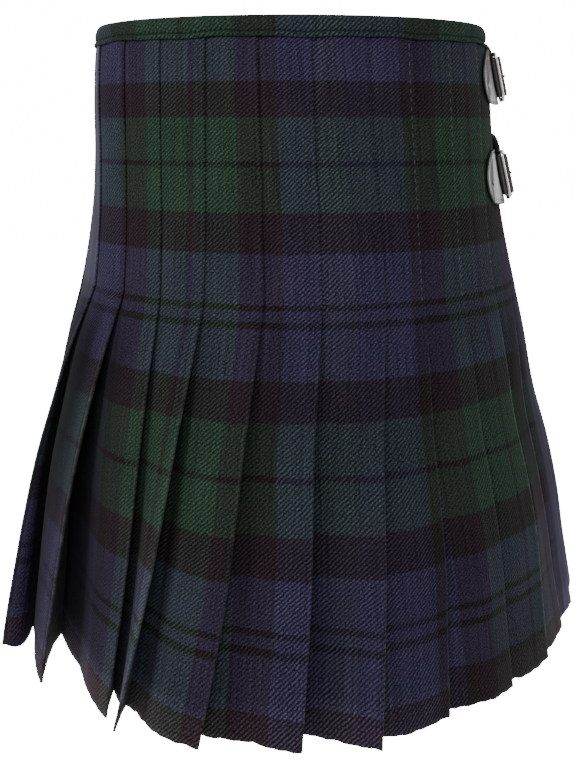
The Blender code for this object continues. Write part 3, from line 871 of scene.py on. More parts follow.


@dataclass(frozen=True)
class TartanFinish:
    """The worsted tartan twill: its stripes, its ribs, its threads, and painted light and shade.

    Lengths are metres, apart from the pitch of the ribs, and scales are blobs to a metre.
    """

    name: str = "tartan"
    dye: Dye = Dye()
    pitch: float = SETT / 64.0
    softness: float = 0.7       # how softly one thread of the twill gives way to the other
    rib_contrast: float = 1.35
    grain: float = 5.6
    streak: float = 1.2
    cloud: float = 0.5
    bump: float = 0.35
    fray: float = 0.0042        # how far the edges of the stripes stray
    fray_scale: float = 640.0
    drift: float = 0.0045       # and the ribs
    drift_scale: float = 70.0
    clear_at: float = 0.01      # the ribs are clearest here, to the wearer's right of the middle
    clear_reach: float = 0.135
    least_clear: float = 0.28
    clear_scale: float = 9.0
    stitch_inset: float = 0.0021
    stitch_half: float = 0.00045
    stitch_pitch: float = 0.0062
    stitch_share: float = 0.42  # of the pitch that is thread
    # the painted highlight on the folded edges: its width, and its patches to a metre
    edge_highlight_width: float = 0.0016
    edge_highlight_scale: float = 90.0
    glance_ribs: tuple[float, float] = (130.0, 3.0)
    glance_contrast: float = 3.4

    def stripes(self, warp: bool) -> Stripes:
        """Return the repeat: a green block with one line, and a blue block between two blacks.

        Args:
            warp: for the threads that run down the cloth, whose blue block has a paler stripe
                where the others have a pair of lines.

        Returns:
            Where each stripe starts, as a share of the repeat, and its colour.
        """
        dye = self.dye
        if warp:
            line, lines = dye.black, ((0.585, dye.teal), (0.685, dye.blue))
        else:
            line = dye.line
            lines = ((0.629, line), (0.651, dye.blue), (0.687, line), (0.710, dye.blue))
        return ((0.0, dye.green), (0.153, line), (0.173, dye.green), (0.332, dye.black),
                (0.466, dye.blue), *lines, (0.868, dye.black))

    def clarity(self, shade: Shading) -> Socket:
        """Fade the painted light and shade of the ribs.

        They are clear at the middle of the back and front, and fade to the sides as a bell does
        and in broad clouds.

        Args:
            shade: the material's nodes.

        Returns:
            How clear the ribs are.
        """
        place = shade.place()
        side = shade.node("ShaderNodeSeparateXYZ", Vector=place).outputs[0]
        offset = shade.math("DIVIDE", shade.math("SUBTRACT", side, self.clear_at),
                            self.clear_reach)
        bell = shade.math("MULTIPLY_ADD", shade.bell(offset), 1.0 - self.least_clear,
                          self.least_clear)
        clouds = shade.noise(place, self.clear_scale, 2.0)
        return shade.times(bell, shade.math("MULTIPLY_ADD", clouds, 0.8, 0.6))

    def stitches(self, shade: Shading, past: Socket, down: Socket) -> Socket:
        """Mark the stitches that hold a folded edge down: a dashed line just inside it.

        Args:
            shade: the material's nodes.
            past: distance past the folded edge.
            down: distance below the top edge.

        Returns:
            How plainly a stitch shows, and 0 where there is none.
        """
        off = shade.math("ABSOLUTE", shade.math("ADD", past, self.stitch_inset))
        line = shade.math("LESS_THAN", off, self.stitch_half)
        wave = shade.math("FRACT", shade.math("DIVIDE", down, self.stitch_pitch))
        dash = shade.math("LESS_THAN", wave, self.stitch_share)
        fell = shade.math("LESS_THAN", down, FELL_END * MM)
        return shade.times(line, dash, fell, shade.marked("stitched"))

    def lightening(self, shade: Shading, fold: tuple[Socket, Socket, Socket], glance: Socket) -> Socket:
        """Paint a highlight on the folded edges below the fell: a patchy bell over each.

        Args:
            shade: the material's nodes.
            fold: place from the folded edge, distance past it, and down.
            glance: how far the cloth is seen edge on.

        Returns:
            The share of the highlight colour.
        """
        near = shade.bell(shade.math("DIVIDE", fold[1], self.edge_highlight_width))
        patches = shade.noise(fold[0], self.edge_highlight_scale, 2.0)
        patchy = shade.math("MULTIPLY_ADD", patches, 2.4, -0.7, clamp=True)
        below = shade.rise(fold[2], OPENED[0] * MM, OPENED[1] * MM)
        seen = shade.rise(glance, 0.25, 0.7, 0.3)
        return shade.times(near, patchy, below, seen, shade.marked("lit_edge"))

    def glance_painted(self, shade: Shading, colour: Socket, cloth: Socket, glance: Socket) -> Socket:
        """Lay painted sheen and painted shade over the cloth.

        At a glance a colour of its own shows, in narrow ribs that run down the cloth: painted
        sheen, and painted shade on pleat 11. Painted shade in the shadow of the folds darkens it.

        Args:
            shade: the material's nodes.
            colour: the cloth's colour.
            cloth: place on the cloth.
            glance: how far the cloth is seen edge on.

        Returns:
            The colour with the painted sheen and shade on it.
        """
        # painted sheen, and painted shade on pleat 11, in narrow ribs, fullest at a glance
        tone = shade.about(1.0, shade.streaks(cloth, self.glance_ribs, 3.0, 0.6), self.glance_contrast)
        own = shade.toned(shade.marked("glance_colour", "Color"), tone)
        shown = shade.times(shade.marked("glance_painted"), shade.rise(glance, 0.45, 0.8))
        # painted shade in the shadow of the folds and under them, and the lighter hem, fullest at
        # a glance
        deep = shade.times(shade.marked("painted_shade_and_hem_light"), shade.rise(glance, 0.25, 0.6, 0.4))
        return shade.toned(shade.mix(shown, colour, own), shade.math("SUBTRACT", 1.0, deep))

    def build(self, groups: Groups) -> Material:
        """Make the material.

        Args:
            groups: the shared effects.

        Returns:
            The material, which reads the UV maps cloth and fold.
        """
        material, shade, surface = new_material(self.name)
        cloth, across, down = shade.laid("cloth")
        fold = shade.laid("fold")
        glance = shade.node("ShaderNodeLayerWeight", Blend=0.5).outputs["Facing"]
        fray = shade.math("MULTIPLY_ADD", shade.noise(cloth, self.fray_scale, 1.0), self.fray,
                          -self.fray / 2.0)
        warp = shade.use(groups.warp, Distance=shade.math("ADD", across, fray))
        weft = shade.use(groups.weft, Distance=shade.math("ADD", down, fray))
        drift = shade.math("MULTIPLY_ADD", shade.noise(cloth, self.drift_scale, 2.0), self.drift,
                           across)
        twill = shade.use(groups.twill, Across=drift, Down=down, Pitch=self.pitch * MM,
                          Softness=self.softness)
        shown = shade.times(weft.outputs["Shows"],
                            shade.math("MULTIPLY_ADD", twill.outputs["Warp"], 1.4, 0.3))
        colour = shade.mix(shown, weft.outputs["Color"], warp.outputs["Color"])
        wool = shade.use(groups.wool, Color=colour, Cloth=cloth, Grain=self.grain,
                         Streak=self.streak, Cloud=self.cloud)
        # painted light on the crests of the ribs and painted shade between them
        lit = shade.times(shade.math("SUBTRACT", twill.outputs["Height"], 0.5), self.rib_contrast)
        rib = shade.math("MULTIPLY_ADD", lit, self.clarity(shade), 1.0)
        colour = shade.toned(wool.outputs["Color"], rib)
        colour = shade.mix(self.stitches(shade, fold[1], fold[2]), colour, self.dye.thread)
        # painted sheen and shade at a glance, and painted shade in the shadow of the folds
        colour = self.glance_painted(shade, colour, cloth, glance)
        # a painted highlight along the folded edges, stronger at a glance
        colour = shade.mix(self.lightening(shade, fold, glance), colour, self.dye.lightening)
        shade.fill(surface, Base_Color=colour, Roughness=0.86, Specular_IOR_Level=0.06,
                   Sheen_Weight=0.03, Sheen_Roughness=0.3)
        height = shade.math("MULTIPLY_ADD", wool.outputs["Grain"], 0.45, twill.outputs["Height"])
        shade.bump(surface, height, self.bump, 0.0005)
        return material


@dataclass(frozen=True)
class LeatherFinish:
    """Black bridle leather: smooth, finely grained, and glossy where it is polished."""

    name: str = "black_leather"
    colour: Colour = (0.017, 0.015, 0.016, 1.0)
    dull: float = 0.62          # roughness of a strap
    glossy: float = 0.34        # and of a tab
    coat: float = 0.42          # clear polish on a tab
    pores: float = 1900.0       # to a metre
    clouds: float = 130.0

    def build(self) -> Material:
        """Make the material.

        Returns:
            The material, which reads how far each face is polished.
        """
        material, shade, surface = new_material(self.name)
        place = shade.place()
        cloud = shade.noise(place, self.clouds, 3.0)
        polish = shade.marked("polish")
        rough = shade.math("MULTIPLY_ADD", polish, self.glossy - self.dull, self.dull)
        tone = shade.math("MULTIPLY_ADD", cloud, 0.7, 0.65)
        shade.fill(surface, Base_Color=shade.toned(self.colour, tone),
                   Roughness=shade.about(rough, cloud, 0.16),
                   Coat_Weight=shade.times(polish, self.coat), Coat_Roughness=0.25,
                   Specular_IOR_Level=0.24, Specular_Tint=(1.0, 0.92, 0.92, 1.0))
        shade.bump(surface, shade.noise(place, self.pores, 2.0), 0.25, 0.0002)
        return material


@dataclass(frozen=True)
class ChromeFinish:
    """Polished chrome plate with faint handling marks."""

    name: str = "chrome"
    colour: Colour = (0.80, 0.755, 0.725, 1.0)
    roughness: float = 0.14
    marks: float = 0.14         # how much rougher a mark is
    marks_scale: float = 400.0  # marks to a metre

    def build(self) -> Material:
        """Make the material.

        Returns:
            The material.
        """
        material, shade, surface = new_material(self.name)
        marks = shade.noise(shade.place(), self.marks_scale, 3.0)
        rough = shade.math("MULTIPLY_ADD", marks, self.marks, self.roughness - self.marks / 2.0)
        shade.fill(surface, Base_Color=self.colour, Metallic=1.0, Roughness=rough)
        return material


class Groups:
    """The shader effects that are kept as node groups."""

    def __init__(self, tartan: TartanFinish) -> None:
        """Build the shared groups once.

        Args:
            tartan: the cloth whose stripes they give.
        """
        self.warp = stripe_group("Warp stripes", WARP_SETT, tartan.stripes(True))
        self.weft = stripe_group("Weft stripes", SETT, tartan.stripes(False))
        self.twill = twill_group()
        self.wool = wool_group()


# ---------------------------------------------------------------- cloth
def sides(values: Array) -> tuple[Array, Array]:
    """Return a grid's values at the left and at the right side of its faces."""
    return values[:, :-1], values[:, 1:]


@dataclass
class Cloth:
    """What every sheet of the kilt has: a form to hang on and a finish."""

    form: WornForm
    finish: Material

    def sheet_from(self, name: str, points: Array, across: tuple[Array, Array], downward: Array,
                   fold: tuple[Array, Array], fold_down: Array, wall: float) -> Piece:
        """Make a sheet from a grid, with its cloth and fold coordinates.

        Args:
            name: name of the piece.
            points: grid of points in millimetres.
            across: metres across the cloth at each face's left side, and at its right.
            downward: metres down the cloth, a column, or a grid of a column for each face.
            fold: metres past the folded edge at each face's left side, and at its right.
            fold_down: metres below the top edge, a column.
            wall: thickness.

        Returns:
            The sheet.
        """
        made = new_object(name, points, grid_faces(*points.shape[:2]).tolist(), self.finish)
        lay_uv(made, "cloth", corner_values(*across, downward[:-1], downward[1:]))
        lay_uv(made, "fold", corner_values(*fold, fold_down[:-1], fold_down[1:]))
        thicken(made, wall)
        return made


@dataclass
class Patch:
    """One pleat's stretch of the folded length: a grid with a row for each height."""

    along: Array        # place of each point, along and out
    out: Array
    anchor: float       # place of its folded edge across the tartan
    edge_at: int        # column of its folded edge

    def led_by(self, lead: tuple[Array, Array] | None) -> Patch:
        """Put the hidden cloth that leads to the patch before its columns.

        Args:
            lead: that cloth's places along and out, or nothing before the first patch.

        Returns:
            The longer patch.
        """
        if lead is None:
            return self
        return Patch(np.concatenate([lead[0], self.along], axis=1),
                     np.concatenate([lead[1], self.out], axis=1),
                     self.anchor, self.edge_at + lead[0].shape[1])


@dataclass
class PleatedCloth(Cloth):
    """The back and sides: one length folded into knife pleats, whose edges face right."""

    panel: int = 15         # columns of points across a panel
    edge: int = 6           # round a folded edge
    under: int = 7          # across its underside
    turn: int = 2           # round each half of an inner fold
    hidden: int = 3         # and from there to where the next panel shows

    def opened(self, row: tuple[float, ...], previous: Array, down: Array) -> dict[str, Array]:
        """Work out one pleat at every height.

        Args:
            row: the pleat's row of the table.
            previous: the edge before it at each height.
            down: the heights, as a column.

        Returns:
            The pleat's edge, lift, gap, inner fold and shape at each height.
        """
        size = dict(zip(PLEAT_COLUMNS, row))
        opening = np.clip((down - FELL_END) / (HEM - FELL_END), 0.0, 1.0)
        edge = fold_line(row[:4], down)
        return {"edge": edge, "opening": opening, "crown": size["crown"],
                "gap": between(2.0 * LAYER, size["gap"] + SAG, opening),
                "back": between(CLOSED_BACK * (edge - previous), size["back"], opening),
                **{name: size[name] * opening for name in ("lift", "sink", "belly")}}

    def pleat_patch(self, pleat: dict[str, Array], start: Array, start_out: Array, anchor: float
                    ) -> tuple[Patch, Array, Array]:
        """Lay out one pleat from the start of its panel to the top half of its inner fold.

        The panel is a straight rise with a sine crown, the folded edge half a circle, the
        underside a parabola held a layer below the panel, and the inner fold a quarter circle.

        Args:
            pleat: the pleat at each height.
            start: where its panel comes into sight.
            start_out: how far out it is there.
            anchor: place of its folded edge across the tartan.

        Returns:
            The patch, and the middle of the inner fold, along and out.
        """
        radius = LAYER / 2.0
        edge, lift = pleat["edge"], pleat["lift"]
        inner = edge - pleat["back"]
        top_edge = edge - radius
        lead_share = np.clip((inner - CROWN_LEAD - start) / (edge - start), 0.06, 0.94)
        straight = between(start_out, lift, lead_share)
        crown = between(CLOSED_CROWN, straight + pleat["crown"], pleat["opening"]) - straight
        skew = math.log(0.5) / np.log(lead_share)

        def panel_out(place: Array) -> Array:
            """Return how far out the panel is at a place along it."""
            share = np.clip((place - start) / (top_edge - start), 0.0, 1.0)
            return between(start_out, lift, share) + crown * np.sin(math.pi * share ** skew)

        panel = between(start, top_edge, spread(self.panel))
        fold, fold_out = arc(top_edge, lift - radius, radius, 72.0, -90.0, self.edge)
        inner_out = np.minimum(panel_out(inner) - LAYER,
                               lift - pleat["gap"] - pleat["sink"] + LAYER)
        share = spread(self.under + 1)[:, 1:]
        back = (between(top_edge, inner + radius, share)
                + 4.0 * share * (1.0 - share) * pleat["belly"])
        back_out = between(lift - LAYER, inner_out, share)
        covered = (back < top_edge) & (back > start)
        back_out = np.where(covered, np.minimum(back_out, panel_out(back) - LAYER), back_out)
        middle, middle_out = inner + radius, inner_out - radius
        turn, turn_out = arc(middle, middle_out, radius, 90.0, 180.0, self.turn + 1)
        along = np.concatenate([panel, fold, back, turn[:, 1:]], axis=1)
        out = np.concatenate([panel_out(panel), fold_out, back_out, turn_out[:, 1:]], axis=1)
        return Patch(along, out, anchor, self.panel + 1), middle, middle_out

    def lead_in(self, inner: Array, inner_out: Array, edge: Array, next_out: Array
                ) -> tuple[Array, Array]:
        """Lay out the cloth from an inner fold's apex to where the next panel shows.

        Args:
            inner: the inner fold's middle along.
            inner_out: the inner fold's middle out.
            edge: the folded edge above.
            next_out: how far out the next panel is under that edge.

        Returns:
            Places along and out, without the panel's first column.
        """
        radius = LAYER / 2.0
        turn, turn_out = arc(inner, inner_out, radius, 180.0, 270.0, self.turn + 1)
        share = spread(self.hidden + 1)[:, 1:-1]
        return (np.concatenate([turn, between(inner, edge + TUCK, share)], axis=1),
                np.concatenate([turn_out, between(inner_out - radius, next_out, share)], axis=1))

    def painted_shading_and_hem(self, index: int, run: Array, edge_at: int, down: Array) -> Array:
        """Work out the painted shade of a panel: in the shadow of the fold before it and under a
        fold, less the lighter hem.

        Args:
            index: the pleat.
            run: distance past the folded edge at each point.
            edge_at: column of the folded edge.
            down: the heights, as a column.

        Returns:
            The share by which each point is darker, below zero where it is lighter.
        """
        fade = eased(down, *PAINTED_SHADING_STARTS)
        # the last of the cloth is made lighter towards the hem
        lightening = HEM_LIGHT.get(index, HEM_LIGHT_ELSEWHERE) * eased(down, *HEM_LIGHTENS)
        # painted shade on the underside of a fold, less the lighter hem
        darker = UNDERSIDES.get(index, 0.0) * fade * (run > 0.0) - lightening
        if index not in PAINTED_SHADING:
            return darker
        # painted shade across the panel from the fold that covers it, painted light where the
        # depth is below zero
        first = edge_at - self.panel - 1
        share = 1.0 - run / run[:, first:first + 1]
        to_hem = eased(down, *PAINTED_SHADING_TURNS)
        depth, low, high = (between(opened, at_hem, to_hem) for opened, at_hem in
                            zip(PAINTED_SHADING[index][:3], PAINTED_SHADING[index][3:]))
        lifted = np.clip((share - low) / (high - low), 0.0, 1.0)
        return darker + depth * (1.0 - lifted) * fade * (run < 0.0)

    def laid_out(self, index: int, patch: Patch, down: Array) -> dict[str, Array]:
        """Place one patch in space, and work out its cloth, its folds, its stitches, its painted
        light and shade, and its lighter hem.

        Each patch measures its cloth from its own folded edge, and neighbours share the column
        at the inner fold, where the pattern may jump by the cloth that is folded away.

        Args:
            index: the pleat.
            patch: its patch.
            down: the heights, as a column.

        Returns:
            Grids by name, of points or of faces, without the points shared with the patch before.
        """
        moved = patch.out * pressed(down) + creased(BACK_CREASES, patch.along, down)
        points = self.form.point(patch.along, hem_drop(patch.along, down), moved)
        run = walked(points[..., 0], points[..., 1])
        run -= run[:, patch.edge_at:patch.edge_at + 1]
        left, right = sides((patch.anchor - WARP_START + run) * MM)
        fold_left, fold_right = sides(run * MM)
        faces = np.ones((len(down) - 1, left.shape[1]))
        shared = min(index, 1)
        slip = SLIPPED.get(index, 0.0) * SETT * MM * eased(down, *SLIPS)
        # painted sheen, and painted shade on pleat 11, seen at a glance
        *glance_colour, glance_painted = PAINTED_AT_GLANCE.get(index, (0.0, 0.0, 0.0, 0.0))
        if index <= PAINTED_AT_GLANCE_ABOVE:
            fade = 1.0 - eased(down[:-1], *PAINTED_AT_GLANCE_SINKS)
        else:
            fade = eased(down[:-1], *OPENED)
        return {"points": points[:, shared:],
                "painted_shade_and_hem_light": self.painted_shading_and_hem(index, run, patch.edge_at, down)[:, shared:],
                "left": left, "right": right, "fold_left": fold_left, "fold_right": fold_right,
                "downward": (courses(down) + slip) * faces[:1],
                "stitched": faces * (STITCHED if index in PLAIN_STITCHED else SUNK),
                "lit_edge": faces * LIGHT_EDGES.get(index, EDGE_LIGHT),
                "glance_painted": faces * glance_painted * fade,
                "glance_colour": faces[..., None] * np.array((*glance_colour, 1.0))}

    def folded(self, down: Array) -> list[Patch]:
        """Fold the length from the wearer's left to the right, a patch for each pleat.

        Args:
            down: the heights, as a column.

        Returns:
            The patches, the last of which is the flat end under the outer apron.
        """
        patches = []
        start, start_out = fold_line(LEFT_END, down), np.zeros_like(down)
        previous, lead = start, None
        for row in PLEATS:
            pleat = self.opened(row, previous, down)
            patch, inner, inner_out = self.pleat_patch(pleat, start, start_out, row[1])
            patches.append(patch.led_by(lead))
            previous, start_out = pleat["edge"], pleat["lift"] - pleat["gap"]
            lead = self.lead_in(inner, inner_out, previous, start_out)
            start = previous + TUCK
        share = spread(self.panel)
        end = Patch(between(start, fold_line(RIGHT_END, down), share),
                    between(start_out, LAST_OUT, share), RIGHT_END[1], self.panel - 1)
        return patches + [end.led_by(lead)]

    def build(self) -> Piece:
        """Build the pleated length as one sheet, with the tartan, its stitches, its painted light
        and shade, and its lighter hem laid on it.

        Returns:
            The sheet.
        """
        down = np.linspace(PANEL_TOP, HEM, ROWS)[:, None]
        laid = [self.laid_out(index, patch, down) for index, patch in enumerate(self.folded(down))]
        whole = {name: np.concatenate([grids[name] for grids in laid], axis=1)
                 for name in laid[0]}
        made = self.sheet_from("pleated_cloth", whole["points"], (whole["left"], whole["right"]),
                               whole["downward"], (whole["fold_left"], whole["fold_right"]),
                               down * MM, WALL)
        # the stitches, the painted edge highlights, sheen and shade, and the lighter hem
        for name in ("stitched", "lit_edge", "glance_painted", "glance_colour"):
            mark(made, name, whole[name])
        mark(made, "painted_shade_and_hem_light", whole["painted_shade_and_hem_light"], "POINT")
        stands_for(made, "pleats")
        return made


class Panel(Enum):
    """The two flat front panels: name, node, band, distance out, wall, and cut in metres."""

    OVER = ("over_apron_cloth", "over_apron", "waistband_cloth_over", 0.0, 1.3, (0.46, 0.485))
    UNDER = ("under_apron_cloth", "under_apron", "waistband_cloth_under", -2.4, 1.0, (0.43, 0.485))


@dataclass
class Apron(Cloth):
    """A flat front panel that falls from the waist, with soft creases."""

    columns: int = 120
    tucked: float = 1.25    # the inner apron lies this much deeper behind the pleats' end

    def places(self, panel: Panel, down: Array) -> Array:
        """Spread the panel's columns between its two ends at each height.

        Args:
            panel: which panel.
            down: the heights, as a column.

        Returns:
            Places along.
        """
        left = self.form.girth(down) + fold_line(LEFT_END, down)
        right = fold_line(RIGHT_END, down)
        reveal = right + APRON_REVEAL
        if panel is Panel.OVER:
            return between(reveal, left, spread(self.columns))
        stop = left - (left - reveal) * UNDER_SHORT
        return between(right - UNDERLAP, stop, spread(self.columns))

    def build(self, panel: Panel) -> Piece:
        """Build one panel.

        Args:
            panel: which panel.

        Returns:
            The sheet.
        """
        name, node, band, out, wall, flat = panel.value
        down = np.linspace(PANEL_TOP, HEM, ROWS)[:, None]
        along = self.places(panel, down)
        moved = out + creased(FRONT_CREASES, along, down)
        if panel is Panel.UNDER:
            past = along - fold_line(RIGHT_END, down)
            moved = moved - self.tucked * (1.0 - eased(past, 0.5, 7.0))
        points = self.form.point(along, hem_drop(along, down), moved)
        run = walked(points[..., 0], points[..., 1])
        across = (run - run[:, -1:] / 2.0 + APRON_MIDDLE * WARP_SETT) * MM
        made = self.sheet_from(name, points, sides(across), courses(down), sides(run * MM),
                               down * MM, wall)
        stands_for(made, node)
        return made


class Stretch(Enum):
    """The waistband's three lengths: name, node, inner and outer face, and cut in metres."""

    BACK = ("waistband_cloth_back", "waistband_back", -2.6, 1.5, (0.50, 0.038))
    OVER = ("waistband_cloth_over", "waistband_over", -1.1, 1.5, (0.31, 0.036))
    UNDER = ("waistband_cloth_under", "waistband_under", -3.8, -1.9, (0.30, 0.035))


@dataclass
class Waistband(Cloth):
    """A straight strip of the same cloth, folded over the top edge, with a corded lower edge."""

    wall: float = 0.8
    columns: int = 220
    swell: float = 1.2      # how proud the outer face stands between its edges
    swell_top: float = 0.6
    swell_height: float = 10.4
    groove: float = 0.8     # how deep the groove above the cord is
    groove_at: float = 11.6
    groove_half: float = 0.7
    cord: float = 0.5       # how proud the corded lower edge stands
    cord_at: float = 13.3
    cord_half: float = 1.1
    far: float = 0.05       # no folded edge is nearer than this, in metres

    def ends(self, stretch: Stretch, down: Array) -> tuple[Array, Array]:
        """Return where a length of band starts and stops at each height.

        Args:
            stretch: which length.
            down: heights.

        Returns:
            The two ends along.
        """
        left = fold_line(LEFT_END, down)
        right = fold_line(RIGHT_END, down)
        if stretch is Stretch.BACK:
            return left, right
        round_left = self.form.girth(down) + left - SEAM
        reveal = right + APRON_REVEAL
        if stretch is Stretch.OVER:
            return reveal, round_left
        return right + SEAM, round_left - (round_left - reveal) * UNDER_SHORT

    def profile(self, low: float, high: float) -> tuple[Array, Array]:
        """Return the folded strip's section, from its inner lower edge over the top.

        The two faces are joined by half a circle at the top, and the outer face swells as a sine
        does, over a groove and a cord at its foot, which are bells.

        Args:
            low: the inner face.
            high: the outer face.

        Returns:
            Distances out and down, each as a column.
        """
        half = self.wall / 2.0
        inside, outside = low + half, high - half
        radius = (outside - inside) / 2.0
        rise = np.linspace(BAND_HEIGHT, half + radius, 8)[:-1]
        angle = np.linspace(math.pi, 0.0, 9)
        fall = np.linspace(half + radius, BAND_HEIGHT, 34)[1:]
        share = np.clip((fall - self.swell_top) / self.swell_height, 0.0, 1.0)
        swell = self.swell * np.sin(math.pi * share) ** 0.8
        groove = -self.groove * np.exp(-((fall - self.groove_at) / self.groove_half) ** 2)
        cord = self.cord * np.exp(-((fall - self.cord_at) / self.cord_half) ** 4) * (fall > 11.0)
        out = np.concatenate([np.full(len(rise), inside),
                              (outside + inside) / 2.0 + radius * np.cos(angle),
                              outside + swell + groove + cord])
        down = np.concatenate([rise, half + radius - radius * np.sin(angle), fall])
        return out[:, None], down[:, None]

    def build(self, stretch: Stretch) -> Piece:
        """Build one length of the band.

        Its cloth wavers up and down and in and out, each as two sines of unlike lengths.

        Args:
            stretch: which length.

        Returns:
            The sheet.
        """
        name, node, low, high, flat = stretch.value
        out, down = self.profile(low, high)
        along = between(*self.ends(stretch, down), spread(self.columns))
        waver = 0.5 * np.sin(along / 15.0 + 1.0) + 0.35 * np.sin(along / 6.7) - 0.3
        swing = 0.3 * np.sin(along / 21.0) + 0.2 * np.sin(along / 8.3 + 2.0)
        swinging = eased(down, 0.0, 3.0) * (1.0 - eased(down, 9.0, 12.0))
        points = self.form.point(along, down + waver * eased(down, 3.0, 12.0),
                                 out + swing * swinging)
        length = walked(out.T, down.T).T
        far = np.full(along.shape, self.far)
        made = self.sheet_from(name, points, sides((along - WARP_START) * MM),
                               (BAND_COURSE * SETT + length) * MM, sides(far), length * MM,
                               self.wall)
        stands_for(made, node)
        return made


# ---------------------------------------------------------------- leather and buckles
class Buckle(Enum):
    """The two buckles: name, height, place along, degrees turned in, and the strap's climb.

    The last number is how much further the free length of the strap arches up on its way.
    """

    UPPER = ("upper", 38.5, 190.0, 3.0, 5.0, 10.0)
    LOWER = ("lower", 114.0, 190.0, 7.0, 12.0, 8.0)


class Seat:
    """Where one buckle sits: x runs along the strap to the front, y down, and w outwards.

    Behind the root the pieces follow the cloth. Past it they lie in a flat plane that leaves the
    cloth along its tangent and leans out at the bottom.
    """

    def __init__(self, form: WornForm, buckle: Buckle) -> None:
        """Work out the plane at the buckle's root.

        Args:
            form: the garment's round form.
            buckle: which buckle.
        """
        _, self.down, self.root, turn, self.climb, self.arch = buckle.value
        self.form = form
        run = form.tangent(np.array(self.root), np.array(self.down))
        cosine, sine = math.cos(math.radians(turn)), math.sin(math.radians(turn))
        tx = float(run[0]) * cosine - float(run[1]) * sine
        ty = float(run[0]) * sine + float(run[1]) * cosine
        normal = np.array((ty, -tx, 0.0))
        levels = np.array((self.down + TAB_HALF_HEIGHT, self.down - TAB_HALF_HEIGHT))
        low, high = form.point(np.full(2, self.root), levels, np.zeros(2))
        fall = low - high
        slope = math.atan2(float(fall @ normal), float(-fall[2]))
        lean = slope + math.radians(HARDWARE_LEAN)
        upward = np.array((0.0, 0.0, 1.0))
        self.forward = np.array((tx, ty, 0.0))
        self.downward = normal * math.sin(lean) - upward * math.cos(lean)
        self.outward = normal * math.cos(lean) + upward * math.sin(lean)
        lift = TAB_HALF_HEIGHT * math.sin(math.radians(HARDWARE_LEAN))
        self.origin = form.point(np.array(self.root), np.array(self.down),
                                 np.array(LEATHER_OFF + lift))

    def on_plane(self, x: Array, y: Array, w: Array) -> Array:
        """Return points of the flat plane."""
        x, y, w = (value[..., None] for value in np.broadcast_arrays(x, y, w))
        return self.origin + self.forward * x + self.downward * y + self.outward * w

    def on_cloth(self, x: Array, y: Array, w: Array) -> Array:
        """Return points that follow the cloth."""
        return self.form.point(self.root + x, self.down + y, LEATHER_OFF + w)

    def leather(self, x: Array, y: Array, w: Array) -> Array:
        """Return points that follow the cloth behind the root and the plane past it."""
        return between(self.on_cloth(x, y, w), self.on_plane(x, y, w),
                       eased(x, *BLEND_X)[..., None])


def smooth_path(rows: Array, step: float) -> Array:
    """Walk a table of path rows in equal steps, on cubics through its rows.

    Args:
        rows: path rows, one point each, with any number of columns of which the first two are
            its place.
        step: length of a step.

    Returns:
        The finer rows.
    """
    run = walked(rows[:, 0], rows[:, 1])
    at = np.linspace(0.0, run[-1], max(int(run[-1] / step), 8))
    return np.stack([through(run, column, at) for column in rows.T], axis=-1)


def level(x: Array, *values: float) -> Array:
    """Return path rows at each x, whose other columns are the same all the way."""
    return np.stack([x, *(np.full(len(x), value) for value in values)], axis=-1)


@dataclass(frozen=True)
class RoundEnd:
    """The rounded end of a tab or strap: half an oval from its tip on."""

    tip: float
    length: float
    tall: float         # half the height where the oval ends

    def arc(self, count: int) -> tuple[Array, Array]:
        """Return the x and half height of points round the oval's quarter."""
        angle = np.linspace(0.03, math.pi / 2.0, count)
        return self.tip + self.length * (1.0 - np.cos(angle)), self.tall * np.sin(angle)

    def within(self, x: Array, y: Array, past: Array) -> Array:
        """Work out the distance inside the outline, which near the oval is its share inside.

        Args:
            x: places along.
            y: places across.
            past: the distance inside, past the oval.

        Returns:
            The distance at each place.
        """
        across = (self.tip + self.length - x) / self.length
        ratio = np.hypot(np.clip(across, 0.0, None), y / self.tall)
        return np.where(x < self.tip + self.length,
                        (1.0 - ratio) * min(self.length, self.tall), past)


